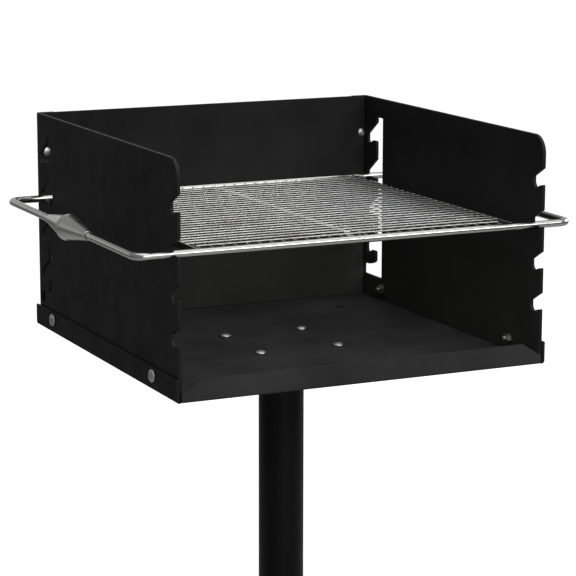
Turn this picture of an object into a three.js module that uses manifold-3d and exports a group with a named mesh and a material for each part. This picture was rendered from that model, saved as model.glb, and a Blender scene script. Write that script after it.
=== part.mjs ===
// A park barbecue grill on a pedestal: a steel fire box with a hooked grate, on one round post.
// Millimetres, +Z up. The origin is on the ground, on the axis of the post. The front faces -Y.
import * as THREE from 'three';
import { mergeVertices } from 'three/addons/utils/BufferGeometryUtils.js';
import Module from 'manifold-3d';

const wasm = await Module();
wasm.setup();

// Driving dimensions of the whole grill
const boxWidth = 508;
const boxDepth = 502;
const boxHeight = 292.5;
const panUndersideHeight = 762;

// Clearances: one between pieces that touch, and one overrun that every cutter has past its work
const seam = 0.3;
const overrun = 6;

// Round stretches
const largeSides = 48;
const middleSides = 20;
const smallSides = 12;
const rodSides = 12;
const wireSides = 8;
const bendSteps = 8;
const arcSteps = 4;

// Pipe post, with the foot plate and its gussets
const postRadius = 30.15;
const postWall = 3.9;
const footPlateWidth = 254;
const footPlateThickness = 9.5;
const footPlateCornerRadius = 16;
const anchorHoleInset = 29;
const anchorHoleRadius = 8;
const gussetEdgeInset = 34.5;
const gussetHeight = 92;
const gussetThickness = 6.4;
const gussetTip = 10;
const gussetCount = 4;
const hexagonSides = 6;

// Swivel: the plate under the pan, its stub pipe inside the post, and the locking bolt
const mountPlateWidth = 152;
const mountPlateThickness = 6.4;
const mountPlateCornerRadius = 10;
const mountBoltSpacing = 112;
const stubRadius = 24.15;
const stubWall = 3.7;
const stubLength = 130;
const grooveDepth = 1.6;
const grooveHeight = 12.5;
const lockBoltDrop = 44;
const lockBolt = { radius: 4.75, head: 14.3, headHeight: 6.2, standOff: 3 };
const lockNut = { width: 19, height: 9 };

// Fire pan: a folded sheet whose front flange is the lip
const panSheet = 3;
const panBendRadius = 3;
const panFlangeHeight = 28.7;
const panSideFlangeInset = 1;
const panCornerRelief = 6;
const lipClipStartInset = 33;
const lipClipKneeInset = 13.4;
const lipClipKneeHeight = 15.8;
const lipClipEndHeight = 12;
const drainHoleRadius = 6.5;
const drainHoleInset = 85;

// Side plates: each is bent inward at the rear to carry the back plate
const plateThickness = 4.5;
const plateBendRadius = 6;
const plateFlangeWidth = 25;
const plateTopCornerRadius = 23;
const backPlateThickness = 3;

// Grate levels: the lowest seat, the highest one under the plate's top, how many there are
// and how many are free under the grate
const lowestSeat = 66.1;
const topSeatInset = 66.8;
const levelCount = 4;
const levelsUnderGrateCount = 2;

// Front notch, measured from its seat and from the front edge of the side plate
const notchSeatInset = 14.9;
const notchRadius = 7.4;
const notchLipInset = 9.2;
const notchLipHeight = 4.6;
const notchLipRounding = 1.6;
const notchBackHeight = 13.4;
const notchBackRounding = 3.6;
const notchMouthHeight = 25.8;
const notchSlope = THREE.MathUtils.degToRad(29.6);

// Rear slot: a channel with hooked pockets behind it, measured back from the channel's front side
const channelInset = 61.2;
const channelWidth = 19.7;
const channelTopInset = 27.5;
const channelBottom = 33.5;
const channelRounding = 2;
const pocketSeatInset = 21;
const pocketRadius = 5.7;
const pocketLedgeHeight = 4.6;
const pocketLedgeLength = 8.5;
const pocketLedgeRounding = 2.5;
const pocketBackHeight = 12.6;
const pocketSlope = THREE.MathUtils.degToRad(35.4);
const pocketRampAngle = THREE.MathUtils.degToRad(30);
const slotFootRearInset = 6.2;
const slotFootHeight = 16;
const slotFootBelly = 3;
const lowestToothDrop = 9.9;

// Fasteners: a carriage bolt has a dome, a square neck and a shank; the nut is a plain hexagon
const sideBolt = { radius: 3.97, dome: 8.25, domeHeight: 4.2, neck: 4.1, neckLength: 3.2, tail: 3 };
const sideNut = { width: 12.7, height: 6.7 };
const sideBoltHeight = 18.6;
const sideBoltFrontInset = 77;
const sideBoltRearInset = 68;
const backBolt = { radius: 3.18, dome: 6.2, domeHeight: 3.2, neck: 3.3, neckLength: 2.6, tail: 2.5 };
const backNut = { width: 11.1, height: 5.4 };
const backBoltInset = 11.2;
const lowerBackBoltHeight = 91.5;
const upperBackBoltInset = 53;

// Grate: the rod loop, the two layers of wires, the flat bars and the grips
const rodRadius = 4.75;
const rodBendRadius = 15;
const sideRodReach = 42.5;
const wireRadius = 1.1;
const meshTopHeight = 3.9;
const wirePitch = 15.9;
const wireWeldDepth = 0.6;
const frontWireInset = 24.6;
const sideBarInset = 29.2;
const sideBarThickness = 3;
const sideBarHeight = 8.2;
const centreBarWidth = 9;
const centreBarEndDrop = 0.3;
const gripLength = 141;
const gripRadius = 17.2;
const gripEndRadius = 6.3;
const gripCollarLength = 4;
const gripEquatorLength = 5;
const weldBeadLength = 4;
const weldBeadHeight = 0.5;

// Sizes worked out from the ones above, shared by the pieces that meet there
const halfWidth = boxWidth / 2;
const halfDepth = boxDepth / 2;
const plateOuterX = halfWidth - panSheet - seam;
const plateInnerX = plateOuterX - plateThickness;
const plateRearY = halfDepth - panSheet - seam;
const plateFrontY = -plateRearY;
const plateBottom = panSheet + seam;
const flangeFrontY = plateRearY - plateThickness;
const backPlateRearY = flangeFrontY - seam;
const backPlateFrontY = backPlateRearY - backPlateThickness;
const channelFrontY = plateRearY - channelInset;
const channelRearY = channelFrontY + channelWidth;
const channelTop = boxHeight - channelTopInset;
const pocketSeatY = channelRearY + pocketSeatInset - seam;
const notchSeatY = plateFrontY + notchSeatInset;
const mountPlateTop = -seam;
const mountPlateBottom = mountPlateTop - mountPlateThickness;
const postTop = panUndersideHeight + mountPlateBottom - seam;
const lockBoltZ = postTop - lockBoltDrop;
const backBoltX = plateOuterX - backBoltInset;
const backBoltHeights = { lower: lowerBackBoltHeight, upper: boxHeight - upperBackBoltInset };
const sideBoltPlaces = [-halfDepth + sideBoltFrontInset, halfDepth - sideBoltRearInset];
const levelStep = (boxHeight - topSeatInset - lowestSeat) / (levelCount - 1);
const sideRodX = halfWidth + sideRodReach;
const sideBarX = plateInnerX - sideBarInset;

// Materials

/** A painted or plated steel, with its colour, roughness and metalness. */
function steel(color, roughness, metalness) {
  return new THREE.MeshStandardMaterial({ color, roughness, metalness });
}

const boxPaint = steel(0x1c1c1c, 0.6, 0);
const postPaint = steel(0x161616, 0.45, 0);
const zinc = steel(0x9e9e9d, 0.38, 1);
const rodPlating = steel(0xb1b1b0, 0.3, 1);
const gripPlating = steel(0xb8b8b7, 0.25, 1);

// Solids: closed meshes that can be joined and cut

/** The solid of a closed three.js geometry. */
function solidOf(geometry) {
  const bare = geometry.clone();
  bare.deleteAttribute('normal');
  bare.deleteAttribute('uv');
  const merged = mergeVertices(bare);
  const vertProperties = new Float32Array(merged.attributes.position.array);
  const triVerts = new Uint32Array(merged.index.array);
  return new wasm.Manifold(new wasm.Mesh({ numProp: 3, vertProperties, triVerts }));
}

/** The three.js geometry of a solid, with flat faces. */
function geometryOf(solid) {
  const mesh = solid.getMesh();
  const geometry = new THREE.BufferGeometry();
  geometry.setAttribute('position', new THREE.BufferAttribute(new Float32Array(mesh.vertProperties), 3));
  geometry.setIndex(Array.from(mesh.triVerts));
  const faceted = geometry.toNonIndexed();
  faceted.computeVertexNormals();
  return faceted;
}

/** The first geometry joined with the rest. */
function join(first, ...others) {
  return geometryOf(others.reduce((solid, other) => solid.add(solidOf(other)), solidOf(first)));
}

/** The first geometry with the rest cut out of it. */
function cut(first, ...cutters) {
  return geometryOf(cutters.reduce((solid, cutter) => solid.subtract(solidOf(cutter)), solidOf(first)));
}

/** A mesh with its name, for one piece of the grill. */
function piece(name, geometry, material) {
  const mesh = new THREE.Mesh(geometry, material);
  mesh.name = name;
  return mesh;
}

// Shapes drawn in one plane and extruded across it

/** A shape in X and Y, extruded up from one height to another. */
function extrudeUp(shape, bottom, top) {
  const options = { depth: top - bottom, bevelEnabled: false, curveSegments: arcSteps };
  return new THREE.ExtrudeGeometry(shape, options).translate(0, 0, bottom);
}

/** A shape in Y and Z, extruded along X. */
function extrudeAlongX(shape, start, end) {
  const turn = new THREE.Matrix4().makeBasis(
    new THREE.Vector3(0, 1, 0),
    new THREE.Vector3(0, 0, 1),
    new THREE.Vector3(1, 0, 0),
  );
  return extrudeUp(shape, start, end).applyMatrix4(turn);
}

/** A shape in X and Z, extruded along Y. */
function extrudeAlongY(shape, start, end) {
  const turn = new THREE.Matrix4().makeBasis(
    new THREE.Vector3(1, 0, 0),
    new THREE.Vector3(0, 0, 1),
    new THREE.Vector3(0, -1, 0),
  );
  return extrudeUp(shape, -end, -start).applyMatrix4(turn);
}

/** A box between two corners. */
function boxBetween(low, high) {
  const size = new THREE.Vector3().subVectors(high, low);
  const middle = new THREE.Vector3().addVectors(high, low).divideScalar(2);
  return new THREE.BoxGeometry(size.x, size.y, size.z).translate(middle.x, middle.y, middle.z);
}

/** A closed outline from its corners. */
function outline(corners) {
  return new THREE.Shape(corners.map(([u, v]) => new THREE.Vector2(u, v)));
}

/** A round bar between two points. */
function bar(start, end, radius, sides) {
  const along = new THREE.Vector3().subVectors(end, start);
  const middle = new THREE.Vector3().addVectors(start, end).divideScalar(2);
  const turn = new THREE.Quaternion().setFromUnitVectors(new THREE.Vector3(0, 1, 0), along.clone().normalize());
  return new THREE.CylinderGeometry(radius, radius, along.length(), sides)
    .applyQuaternion(turn)
    .translate(middle.x, middle.y, middle.z);
}

/** A rectangle with rounded corners, about its middle. */
function roundedSquare(width, radius) {
  const half = width / 2;
  const inner = half - radius;
  const shape = new THREE.Shape();
  shape.moveTo(-inner, -half);
  shape.lineTo(inner, -half);
  shape.absarc(inner, -inner, radius, -Math.PI / 2, 0, false);
  shape.absarc(inner, inner, radius, 0, Math.PI / 2, false);
  shape.absarc(-inner, inner, radius, Math.PI / 2, Math.PI, false);
  shape.absarc(-inner, -inner, radius, Math.PI, Math.PI * 1.5, false);
  return shape;
}

/** A round hole in a shape. */
function roundHole(x, y, radius) {
  const hole = new THREE.Path();
  hole.absarc(x, y, radius, 0, Math.PI * 2, true);
  return hole;
}

/** The four corners of a square pattern, with the words that name them. */
function cornersOf(spacing) {
  const half = spacing / 2;
  return [
    { word: 'front_left', x: -half, y: -half },
    { word: 'front_right', x: half, y: -half },
    { word: 'rear_right', x: half, y: half },
    { word: 'rear_left', x: -half, y: half },
  ];
}

// Fasteners, drawn with the bearing face of the head at the origin and the shank down -Z

/** A carriage bolt whose shank passes sheets of the given thickness and the nut. */
function carriageBolt(bolt, nut, sheets) {
  const shankLength = sheets + nut.height + seam + bolt.tail;
  const dome = new THREE.EllipseCurve(0, 0, bolt.dome, bolt.domeHeight, 0, Math.PI / 2);
  const profile = dome.getPoints(arcSteps).map((point) => new THREE.Vector2(point.x, point.y));
  profile[profile.length - 1].x = 0;
  const head = new THREE.LatheGeometry([new THREE.Vector2(0, 0), ...profile], middleSides);
  const neckTop = bolt.domeHeight / 2;
  const neck = boxBetween(
    new THREE.Vector3(-bolt.neck, -bolt.neck, -bolt.neckLength),
    new THREE.Vector3(bolt.neck, bolt.neck, neckTop),
  );
  const shank = bar(
    new THREE.Vector3(0, 0, neckTop),
    new THREE.Vector3(0, 0, -shankLength),
    bolt.radius,
    smallSides,
  );
  const turnedHead = head.rotateX(Math.PI / 2);
  return join(turnedHead, neck, shank);
}

/** A hexagon of the given width across its flats. */
function hexagon(width) {
  const cornerRadius = width / Math.sqrt(3);
  return outline(Array.from({ length: hexagonSides }, (_, index) => {
    const angle = (index * Math.PI * 2) / hexagonSides;
    return [cornerRadius * Math.cos(angle), cornerRadius * Math.sin(angle)];
  }));
}

/** A hexagon nut with its top face at the origin and its body down -Z. */
function hexNut(nut, boreRadius) {
  const shape = hexagon(nut.width);
  shape.holes.push(roundHole(0, 0, boreRadius));
  const options = { depth: nut.height, bevelEnabled: false, curveSegments: smallSides / 2 };
  return new THREE.ExtrudeGeometry(shape, options).translate(0, 0, -nut.height);
}

/** A mesh moved to a place, with its +Z turned to the given direction. */
function placed(mesh, position, direction) {
  mesh.position.copy(position);
  mesh.quaternion.setFromUnitVectors(new THREE.Vector3(0, 0, 1), direction);
  return mesh;
}

/** A bolt and its nut through sheets of the given thickness, the head outward. */
function boltAndNut(place, fastener, headPoint, outward, sheets) {
  const { kind, bolt, nut } = fastener;
  const boltMesh = piece(`${kind}_bolt_${place}`, carriageBolt(bolt, nut, sheets), zinc);
  const nutMesh = piece(`${kind}_nut_${place}`, hexNut(nut, bolt.radius + seam), zinc);
  const nutPoint = headPoint.clone().addScaledVector(outward, -(sheets + seam));
  return [placed(boltMesh, headPoint, outward), placed(nutMesh, nutPoint, outward)];
}

// Pedestal

/** The plate at the foot of the post, with its four anchor holes. */
function footPlate() {
  const blank = extrudeUp(roundedSquare(footPlateWidth, footPlateCornerRadius), 0, footPlateThickness);
  const holes = cornersOf(footPlateWidth - anchorHoleInset * 2).map((corner) => bar(
    new THREE.Vector3(corner.x, corner.y, -overrun),
    new THREE.Vector3(corner.x, corner.y, footPlateThickness + overrun),
    anchorHoleRadius,
    middleSides,
  ));
  return piece('foot_plate', cut(blank, ...holes), postPaint);
}

/** A gusset between the post and the foot plate, on the side at the given turn about Z. */
function gusset(name, turn) {
  const inner = postRadius + seam;
  const outer = footPlateWidth / 2 - gussetEdgeInset;
  const bottom = footPlateThickness + seam;
  const shape = outline([
    [inner + gussetTip, bottom],
    [outer, bottom],
    [outer, bottom + gussetTip],
    [inner + gussetTip, bottom + gussetHeight],
    [inner, bottom + gussetHeight],
    [inner, bottom + gussetTip],
  ]);
  const geometry = extrudeAlongY(shape, -gussetThickness / 2, gussetThickness / 2);
  const mesh = piece(name, geometry, postPaint);
  mesh.rotation.z = turn;
  return mesh;
}

/** A pipe from one height to another. */
function pipe(outerRadius, wall, bottom, top) {
  const shape = new THREE.Shape();
  shape.absarc(0, 0, outerRadius, 0, Math.PI * 2, false);
  shape.holes.push(roundHole(0, 0, outerRadius - wall));
  const options = { depth: top - bottom, bevelEnabled: false, curveSegments: largeSides / 2 };
  return new THREE.ExtrudeGeometry(shape, options).translate(0, 0, bottom);
}

/** The post, with the hole that the locking bolt passes. */
function post() {
  const tube = pipe(postRadius, postWall, footPlateThickness + seam, postTop);
  const hole = bar(
    new THREE.Vector3(0, 0, lockBoltZ),
    new THREE.Vector3(0, postRadius + overrun, lockBoltZ),
    lockBolt.radius + seam,
    middleSides,
  );
  return piece('post', cut(tube, hole), postPaint);
}

/** The nut welded on the rear of the post, hollowed to fit it. */
function lockWeldNut() {
  const nutOuterY = postRadius + lockNut.height;
  const blank = hexNut({ width: lockNut.width, height: lockNut.height + lockNut.width / 2 }, lockBolt.radius + seam);
  const saddle = bar(
    new THREE.Vector3(0, -lockNut.width, -nutOuterY),
    new THREE.Vector3(0, lockNut.width, -nutOuterY),
    postRadius + seam,
    largeSides,
  );
  const mesh = piece('lock_weld_nut', cut(blank, saddle), postPaint);
  return placed(mesh, new THREE.Vector3(0, nutOuterY, lockBoltZ), new THREE.Vector3(0, 1, 0));
}

/** The locking bolt, whose tip runs in the groove round the stub. */
function lockingBolt() {
  const headY = postRadius + lockNut.height + lockBolt.standOff;
  const tipY = stubRadius - grooveDepth + seam + grooveDepth / 4;
  const head = extrudeUp(hexagon(lockBolt.head), 0, lockBolt.headHeight);
  const shank = bar(
    new THREE.Vector3(0, 0, lockBolt.headHeight / 2),
    new THREE.Vector3(0, 0, tipY - headY),
    lockBolt.radius,
    middleSides,
  );
  const mesh = piece('lock_bolt', join(head, shank), zinc);
  return placed(mesh, new THREE.Vector3(0, headY, lockBoltZ), new THREE.Vector3(0, 1, 0));
}

/** Everything that stays with the ground. */
function pedestal() {
  const group = new THREE.Group();
  const gussetWords = ['right', 'rear', 'left', 'front'];
  group.add(footPlate(), post(), lockWeldNut(), lockingBolt());
  for (let index = 0; index < gussetCount; index += 1) {
    group.add(gusset(`gusset_${gussetWords[index]}`, (index * Math.PI * 2) / gussetCount));
  }
  return group;
}

// Swivel, drawn with the underside of the pan at zero

/** The plate that carries the pan on the post. */
function mountPlate() {
  const blank = extrudeUp(roundedSquare(mountPlateWidth, mountPlateCornerRadius), mountPlateBottom, mountPlateTop);
  const holes = cornersOf(mountBoltSpacing).map((corner) => bar(
    new THREE.Vector3(corner.x, corner.y, mountPlateBottom - overrun),
    new THREE.Vector3(corner.x, corner.y, mountPlateTop + overrun),
    sideBolt.radius + seam,
    middleSides,
  ));
  return piece('swivel_plate', cut(blank, ...holes), postPaint);
}

/** The stub pipe inside the post, with the groove that the locking bolt runs in. */
function swivelStub() {
  const top = mountPlateBottom - seam;
  const bottom = top - stubLength;
  const grooveMiddle = lockBoltZ - panUndersideHeight;
  const grooveTop = grooveMiddle + grooveHeight / 2;
  const grooveBottom = grooveMiddle - grooveHeight / 2;
  const outer = stubRadius;
  const inner = stubRadius - stubWall;
  const floor = stubRadius - grooveDepth;
  const profile = [
    [inner, bottom],
    [outer, bottom],
    [outer, grooveBottom],
    [floor, grooveBottom],
    [floor, grooveTop],
    [outer, grooveTop],
    [outer, top],
    [inner, top],
    [inner, bottom],
  ];
  const points = profile.map(([radius, height]) => new THREE.Vector2(radius, height));
  const geometry = new THREE.LatheGeometry(points, largeSides).rotateX(Math.PI / 2);
  return piece('swivel_stub', geometry, postPaint);
}

// Fire box, drawn with the underside of the pan at zero

/** The cross-section of the pan from its front flange to its rear one, with rounded bends. */
function panSection() {
  const shape = new THREE.Shape();
  const half = halfDepth;
  const inner = half - panSheet;
  const bend = half - panBendRadius;
  shape.moveTo(-bend, 0);
  shape.lineTo(bend, 0);
  shape.absarc(bend, panBendRadius, panBendRadius, -Math.PI / 2, 0, false);
  shape.lineTo(half, panFlangeHeight);
  shape.lineTo(inner, panFlangeHeight);
  shape.lineTo(inner, panSheet);
  shape.lineTo(-inner, panSheet);
  shape.lineTo(-inner, panFlangeHeight);
  shape.lineTo(-half, panFlangeHeight);
  shape.absarc(-bend, panBendRadius, panBendRadius, Math.PI, Math.PI * 1.5, false);
  return shape;
}

/** The cross-section of a side flange, with the strip of floor that it is bent up from. */
function sideFlangeSection(side) {
  const shape = new THREE.Shape();
  const bend = halfWidth - panBendRadius;
  const stripX = halfWidth - panCornerRelief - panSheet;
  const bendStart = side > 0 ? -Math.PI / 2 : Math.PI * 1.5;
  const bendEnd = side > 0 ? 0 : Math.PI;
  shape.moveTo(side * stripX, 0);
  shape.lineTo(side * bend, 0);
  shape.absarc(side * bend, panBendRadius, panBendRadius, bendStart, bendEnd, side < 0);
  shape.lineTo(side * halfWidth, panFlangeHeight);
  shape.lineTo(side * (halfWidth - panSheet), panFlangeHeight);
  shape.lineTo(side * (halfWidth - panSheet), panSheet);
  shape.lineTo(side * stripX, panSheet);
  return shape;
}

/** The fire pan: floor, four flanges, clipped lip, bolt holes and drain holes. */
function firePan() {
  const centreHalf = halfWidth - panCornerRelief;
  const sideEndY = halfDepth - panSideFlangeInset;
  const floorAndLips = extrudeAlongX(panSection(), -centreHalf, centreHalf);
  const flanges = [-1, 1].map((side) => extrudeAlongY(sideFlangeSection(side), -sideEndY, sideEndY));
  const blank = join(floorAndLips, ...flanges);
  const cutters = [-1, 1].map((side) => {
    const shape = outline([
      [side * (halfWidth - lipClipStartInset), panFlangeHeight + overrun],
      [side * (halfWidth - lipClipStartInset), panFlangeHeight],
      [side * (halfWidth - lipClipKneeInset), lipClipKneeHeight],
      [side * centreHalf, lipClipEndHeight],
      [side * (centreHalf + seam), lipClipEndHeight],
      [side * (centreHalf + seam), panFlangeHeight + overrun],
    ]);
    return extrudeAlongY(shape, -halfDepth - overrun, -halfDepth + panSheet + seam);
  });
  for (const corner of cornersOf(mountBoltSpacing)) {
    cutters.push(squareCutter(corner.x, corner.y));
  }
  for (const [signX, signY] of [[-1, -1], [1, -1], [1, 1], [-1, 1]]) {
    const x = signX * (halfWidth - drainHoleInset);
    const y = signY * (halfDepth - drainHoleInset);
    const start = new THREE.Vector3(x, y, -overrun);
    cutters.push(bar(start, new THREE.Vector3(x, y, panSheet + overrun), drainHoleRadius, middleSides));
  }
  for (const y of sideBoltPlaces) {
    const half = sideBolt.neck + seam;
    cutters.push(boxBetween(
      new THREE.Vector3(-halfWidth - overrun, y - half, sideBoltHeight - half),
      new THREE.Vector3(halfWidth + overrun, y + half, sideBoltHeight + half),
    ));
  }
  return piece('fire_pan', cut(blank, ...cutters), boxPaint);
}

/** The cutter of a square hole in the pan's floor, for the neck of a carriage bolt. */
function squareCutter(x, y) {
  const half = sideBolt.neck + seam;
  return boxBetween(
    new THREE.Vector3(x - half, y - half, -overrun),
    new THREE.Vector3(x + half, y + half, panSheet + overrun),
  );
}

/** The plan of a side plate and its bent rear flange, on the given side. */
function sidePlatePlan(side) {
  const bendX = plateOuterX - plateBendRadius;
  const bendY = plateRearY - plateBendRadius;
  const innerBend = plateBendRadius - plateThickness;
  const flangeEndX = plateOuterX - plateFlangeWidth;
  const points = [[plateOuterX, plateFrontY]];
  for (let step = 0; step <= bendSteps; step += 1) {
    const angle = (step / bendSteps) * (Math.PI / 2);
    points.push([bendX + plateBendRadius * Math.cos(angle), bendY + plateBendRadius * Math.sin(angle)]);
  }
  points.push([flangeEndX, plateRearY], [flangeEndX, flangeFrontY]);
  for (let step = bendSteps; step >= 0; step -= 1) {
    const angle = (step / bendSteps) * (Math.PI / 2);
    points.push([bendX + innerBend * Math.cos(angle), bendY + innerBend * Math.sin(angle)]);
  }
  points.push([plateInnerX, plateFrontY]);
  return outline(points.map(([x, y]) => [side * x, y]));
}

/** The corner that the rounded top front edge of a side plate leaves out. */
function topCorner() {
  const centreY = plateFrontY + plateTopCornerRadius;
  const centreZ = boxHeight - plateTopCornerRadius;
  const shape = new THREE.Shape();
  shape.moveTo(plateFrontY - overrun, centreZ);
  shape.lineTo(plateFrontY, centreZ);
  shape.absarc(centreY, centreZ, plateTopCornerRadius, Math.PI, Math.PI / 2, true);
  shape.lineTo(centreY, boxHeight + overrun);
  shape.lineTo(plateFrontY - overrun, boxHeight + overrun);
  return shape;
}

/** The front notch whose seat is at the given height. */
function frontNotch(seat) {
  const lipY = plateFrontY + notchLipInset;
  const centreZ = seat + notchRadius;
  const backY = notchSeatY + notchRadius;
  const lipAngle = Math.atan2(-Math.sqrt(notchRadius ** 2 - (notchSeatY - lipY) ** 2), lipY - notchSeatY);
  const mouthZ = seat + notchMouthHeight;
  const slopeTopY = backY - notchBackRounding;
  const slopeTopZ = mouthZ - (slopeTopY - plateFrontY) * Math.tan(notchSlope);
  const lipZ = seat + notchLipHeight;
  const shape = new THREE.Shape();
  shape.moveTo(plateFrontY - overrun, lipZ - notchLipRounding);
  shape.lineTo(plateFrontY, lipZ - notchLipRounding);
  shape.quadraticCurveTo(plateFrontY, lipZ, plateFrontY + notchLipRounding, lipZ);
  shape.absarc(notchSeatY, centreZ, notchRadius, lipAngle, 0, false);
  shape.lineTo(backY, seat + notchBackHeight);
  shape.quadraticCurveTo(backY, slopeTopZ - notchBackRounding * Math.tan(notchSlope), slopeTopY, slopeTopZ);
  shape.lineTo(plateFrontY, mouthZ);
  shape.lineTo(plateFrontY - overrun, mouthZ);
  return shape;
}

/** The rear slot: the channel, its hooked pockets and the open foot under the lowest tooth. */
function rearSlot() {
  const footRearY = plateRearY - slotFootRearInset;
  const footTop = channelBottom + slotFootHeight;
  const shape = new THREE.Shape();
  shape.moveTo(channelFrontY, channelBottom);
  shape.lineTo(channelFrontY, channelTop - channelRounding);
  shape.quadraticCurveTo(channelFrontY, channelTop, channelFrontY + channelRounding, channelTop);
  shape.lineTo(channelRearY - channelRounding, channelTop);
  shape.quadraticCurveTo(channelRearY, channelTop, channelRearY, channelTop - channelRounding);
  for (let level = levelCount - 1; level >= 0; level -= 1) {
    addPocket(shape, lowestSeat + level * levelStep);
  }
  shape.lineTo(channelRearY, lowestSeat - lowestToothDrop);
  shape.bezierCurveTo(
    channelRearY + pocketLedgeRounding,
    footTop + slotFootBelly,
    channelRearY + channelWidth,
    footTop - slotFootBelly,
    footRearY,
    footTop,
  );
  shape.lineTo(footRearY, channelBottom);
  return shape;
}

/** One hooked pocket, drawn from its sloping top edge down to the tooth under it. */
function addPocket(shape, seat) {
  const backY = pocketSeatY + pocketRadius;
  const centreZ = seat + pocketRadius;
  const rampStart = Math.PI * 1.5 - pocketRampAngle;
  const rampFootY = pocketSeatY + pocketRadius * Math.cos(rampStart);
  const rampFootZ = centreZ + pocketRadius * Math.sin(rampStart);
  const ledgeZ = seat + pocketLedgeHeight;
  const ledgeRearY = rampFootY - (ledgeZ - rampFootZ) / Math.tan(pocketRampAngle);
  const ledgeFrontY = ledgeRearY - pocketLedgeLength;
  const slopeTopZ = seat + pocketBackHeight + (backY - channelRearY) * Math.tan(pocketSlope);
  shape.lineTo(channelRearY, slopeTopZ);
  shape.lineTo(backY, seat + pocketBackHeight);
  shape.lineTo(backY, centreZ);
  shape.absarc(pocketSeatY, centreZ, pocketRadius, 0, rampStart, true);
  shape.lineTo(ledgeRearY, ledgeZ);
  shape.lineTo(ledgeFrontY, ledgeZ);
  shape.quadraticCurveTo(channelRearY, ledgeZ, channelRearY, ledgeZ - pocketLedgeRounding);
}

/** A side plate with its notches, rear slot and bolt holes. */
function sidePlate(name, side) {
  const blank = extrudeUp(sidePlatePlan(side), plateBottom, boxHeight);
  const innerX = Math.min(side * (plateInnerX - overrun), side * (plateOuterX + overrun));
  const outerX = Math.max(side * (plateInnerX - overrun), side * (plateOuterX + overrun));
  const cutters = [extrudeAlongX(topCorner(), innerX, outerX), extrudeAlongX(rearSlot(), innerX, outerX)];
  for (let level = 0; level < levelCount; level += 1) {
    cutters.push(extrudeAlongX(frontNotch(lowestSeat + level * levelStep), innerX, outerX));
  }
  for (const y of sideBoltPlaces) {
    const start = new THREE.Vector3(innerX, y, sideBoltHeight);
    const end = new THREE.Vector3(outerX, y, sideBoltHeight);
    cutters.push(bar(start, end, sideBolt.radius + seam, middleSides));
  }
  for (const height of Object.values(backBoltHeights)) {
    cutters.push(backBoltCutter(side, height));
  }
  return piece(name, cut(blank, ...cutters), boxPaint);
}

/** The cutter of a round hole for a back bolt, through the side plate's flange. */
function backBoltCutter(side, height) {
  return bar(
    new THREE.Vector3(side * backBoltX, flangeFrontY - overrun, height),
    new THREE.Vector3(side * backBoltX, plateRearY + overrun, height),
    backBolt.radius + seam,
    smallSides,
  );
}

/** The back plate, with a square hole for the neck of each back bolt. */
function backPlate() {
  const halfSpan = plateOuterX - plateBendRadius;
  const blank = boxBetween(
    new THREE.Vector3(-halfSpan, backPlateFrontY, plateBottom),
    new THREE.Vector3(halfSpan, backPlateRearY, boxHeight),
  );
  const half = backBolt.neck + seam;
  const cutters = [-1, 1].flatMap((side) => Object.values(backBoltHeights).map((height) => boxBetween(
    new THREE.Vector3(side * backBoltX - half, backPlateFrontY - overrun, height - half),
    new THREE.Vector3(side * backBoltX + half, backPlateRearY + overrun, height + half),
  )));
  return piece('back_plate', cut(blank, ...cutters), boxPaint);
}

/** The bolts and nuts that hold the pan to the side plates. */
function sideFasteners(word, side) {
  const outward = new THREE.Vector3(side, 0, 0);
  const sheets = halfWidth + seam - plateInnerX;
  const fastener = { kind: 'side', bolt: sideBolt, nut: sideNut };
  return ['front', 'rear'].flatMap((place, index) => {
    const head = new THREE.Vector3(side * (halfWidth + seam), sideBoltPlaces[index], sideBoltHeight);
    return boltAndNut(`${place}_${word}`, fastener, head, outward, sheets);
  });
}

/** The bolts and nuts that hold the back plate to a side plate's flange, their heads inside. */
function backFasteners(word, side) {
  const outward = new THREE.Vector3(0, -1, 0);
  const sheets = plateRearY + seam - backPlateFrontY;
  const fastener = { kind: 'back', bolt: backBolt, nut: backNut };
  return Object.entries(backBoltHeights).flatMap(([place, height]) => {
    const head = new THREE.Vector3(side * backBoltX, backPlateFrontY - seam, height);
    return boltAndNut(`${place}_${word}`, fastener, head, outward, sheets);
  });
}

/** The bolts and nuts that hold the pan to the swivel plate, their heads in the pan. */
function floorFasteners() {
  const outward = new THREE.Vector3(0, 0, 1);
  const sheets = panSheet + seam - mountPlateBottom;
  const fastener = { kind: 'floor', bolt: sideBolt, nut: sideNut };
  return cornersOf(mountBoltSpacing).flatMap((corner) => {
    const head = new THREE.Vector3(corner.x, corner.y, panSheet + seam);
    return boltAndNut(corner.word, fastener, head, outward, sheets);
  });
}

// Grate, drawn with the middle of its rods at zero height

/** A rod's line: straight stretches and round bends, sampled only where it bends. */
class BentRodLine extends THREE.Curve {
  constructor(stations) {
    super();
    this.stations = stations;
  }

  station(share) {
    return this.stations[Math.round(share * (this.stations.length - 1))];
  }

  getPoint(share) {
    return this.station(share).point.clone();
  }

  getPointAt(share) {
    return this.getPoint(share);
  }

  getTangentAt(share) {
    return this.station(share).tangent.clone();
  }
}

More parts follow.
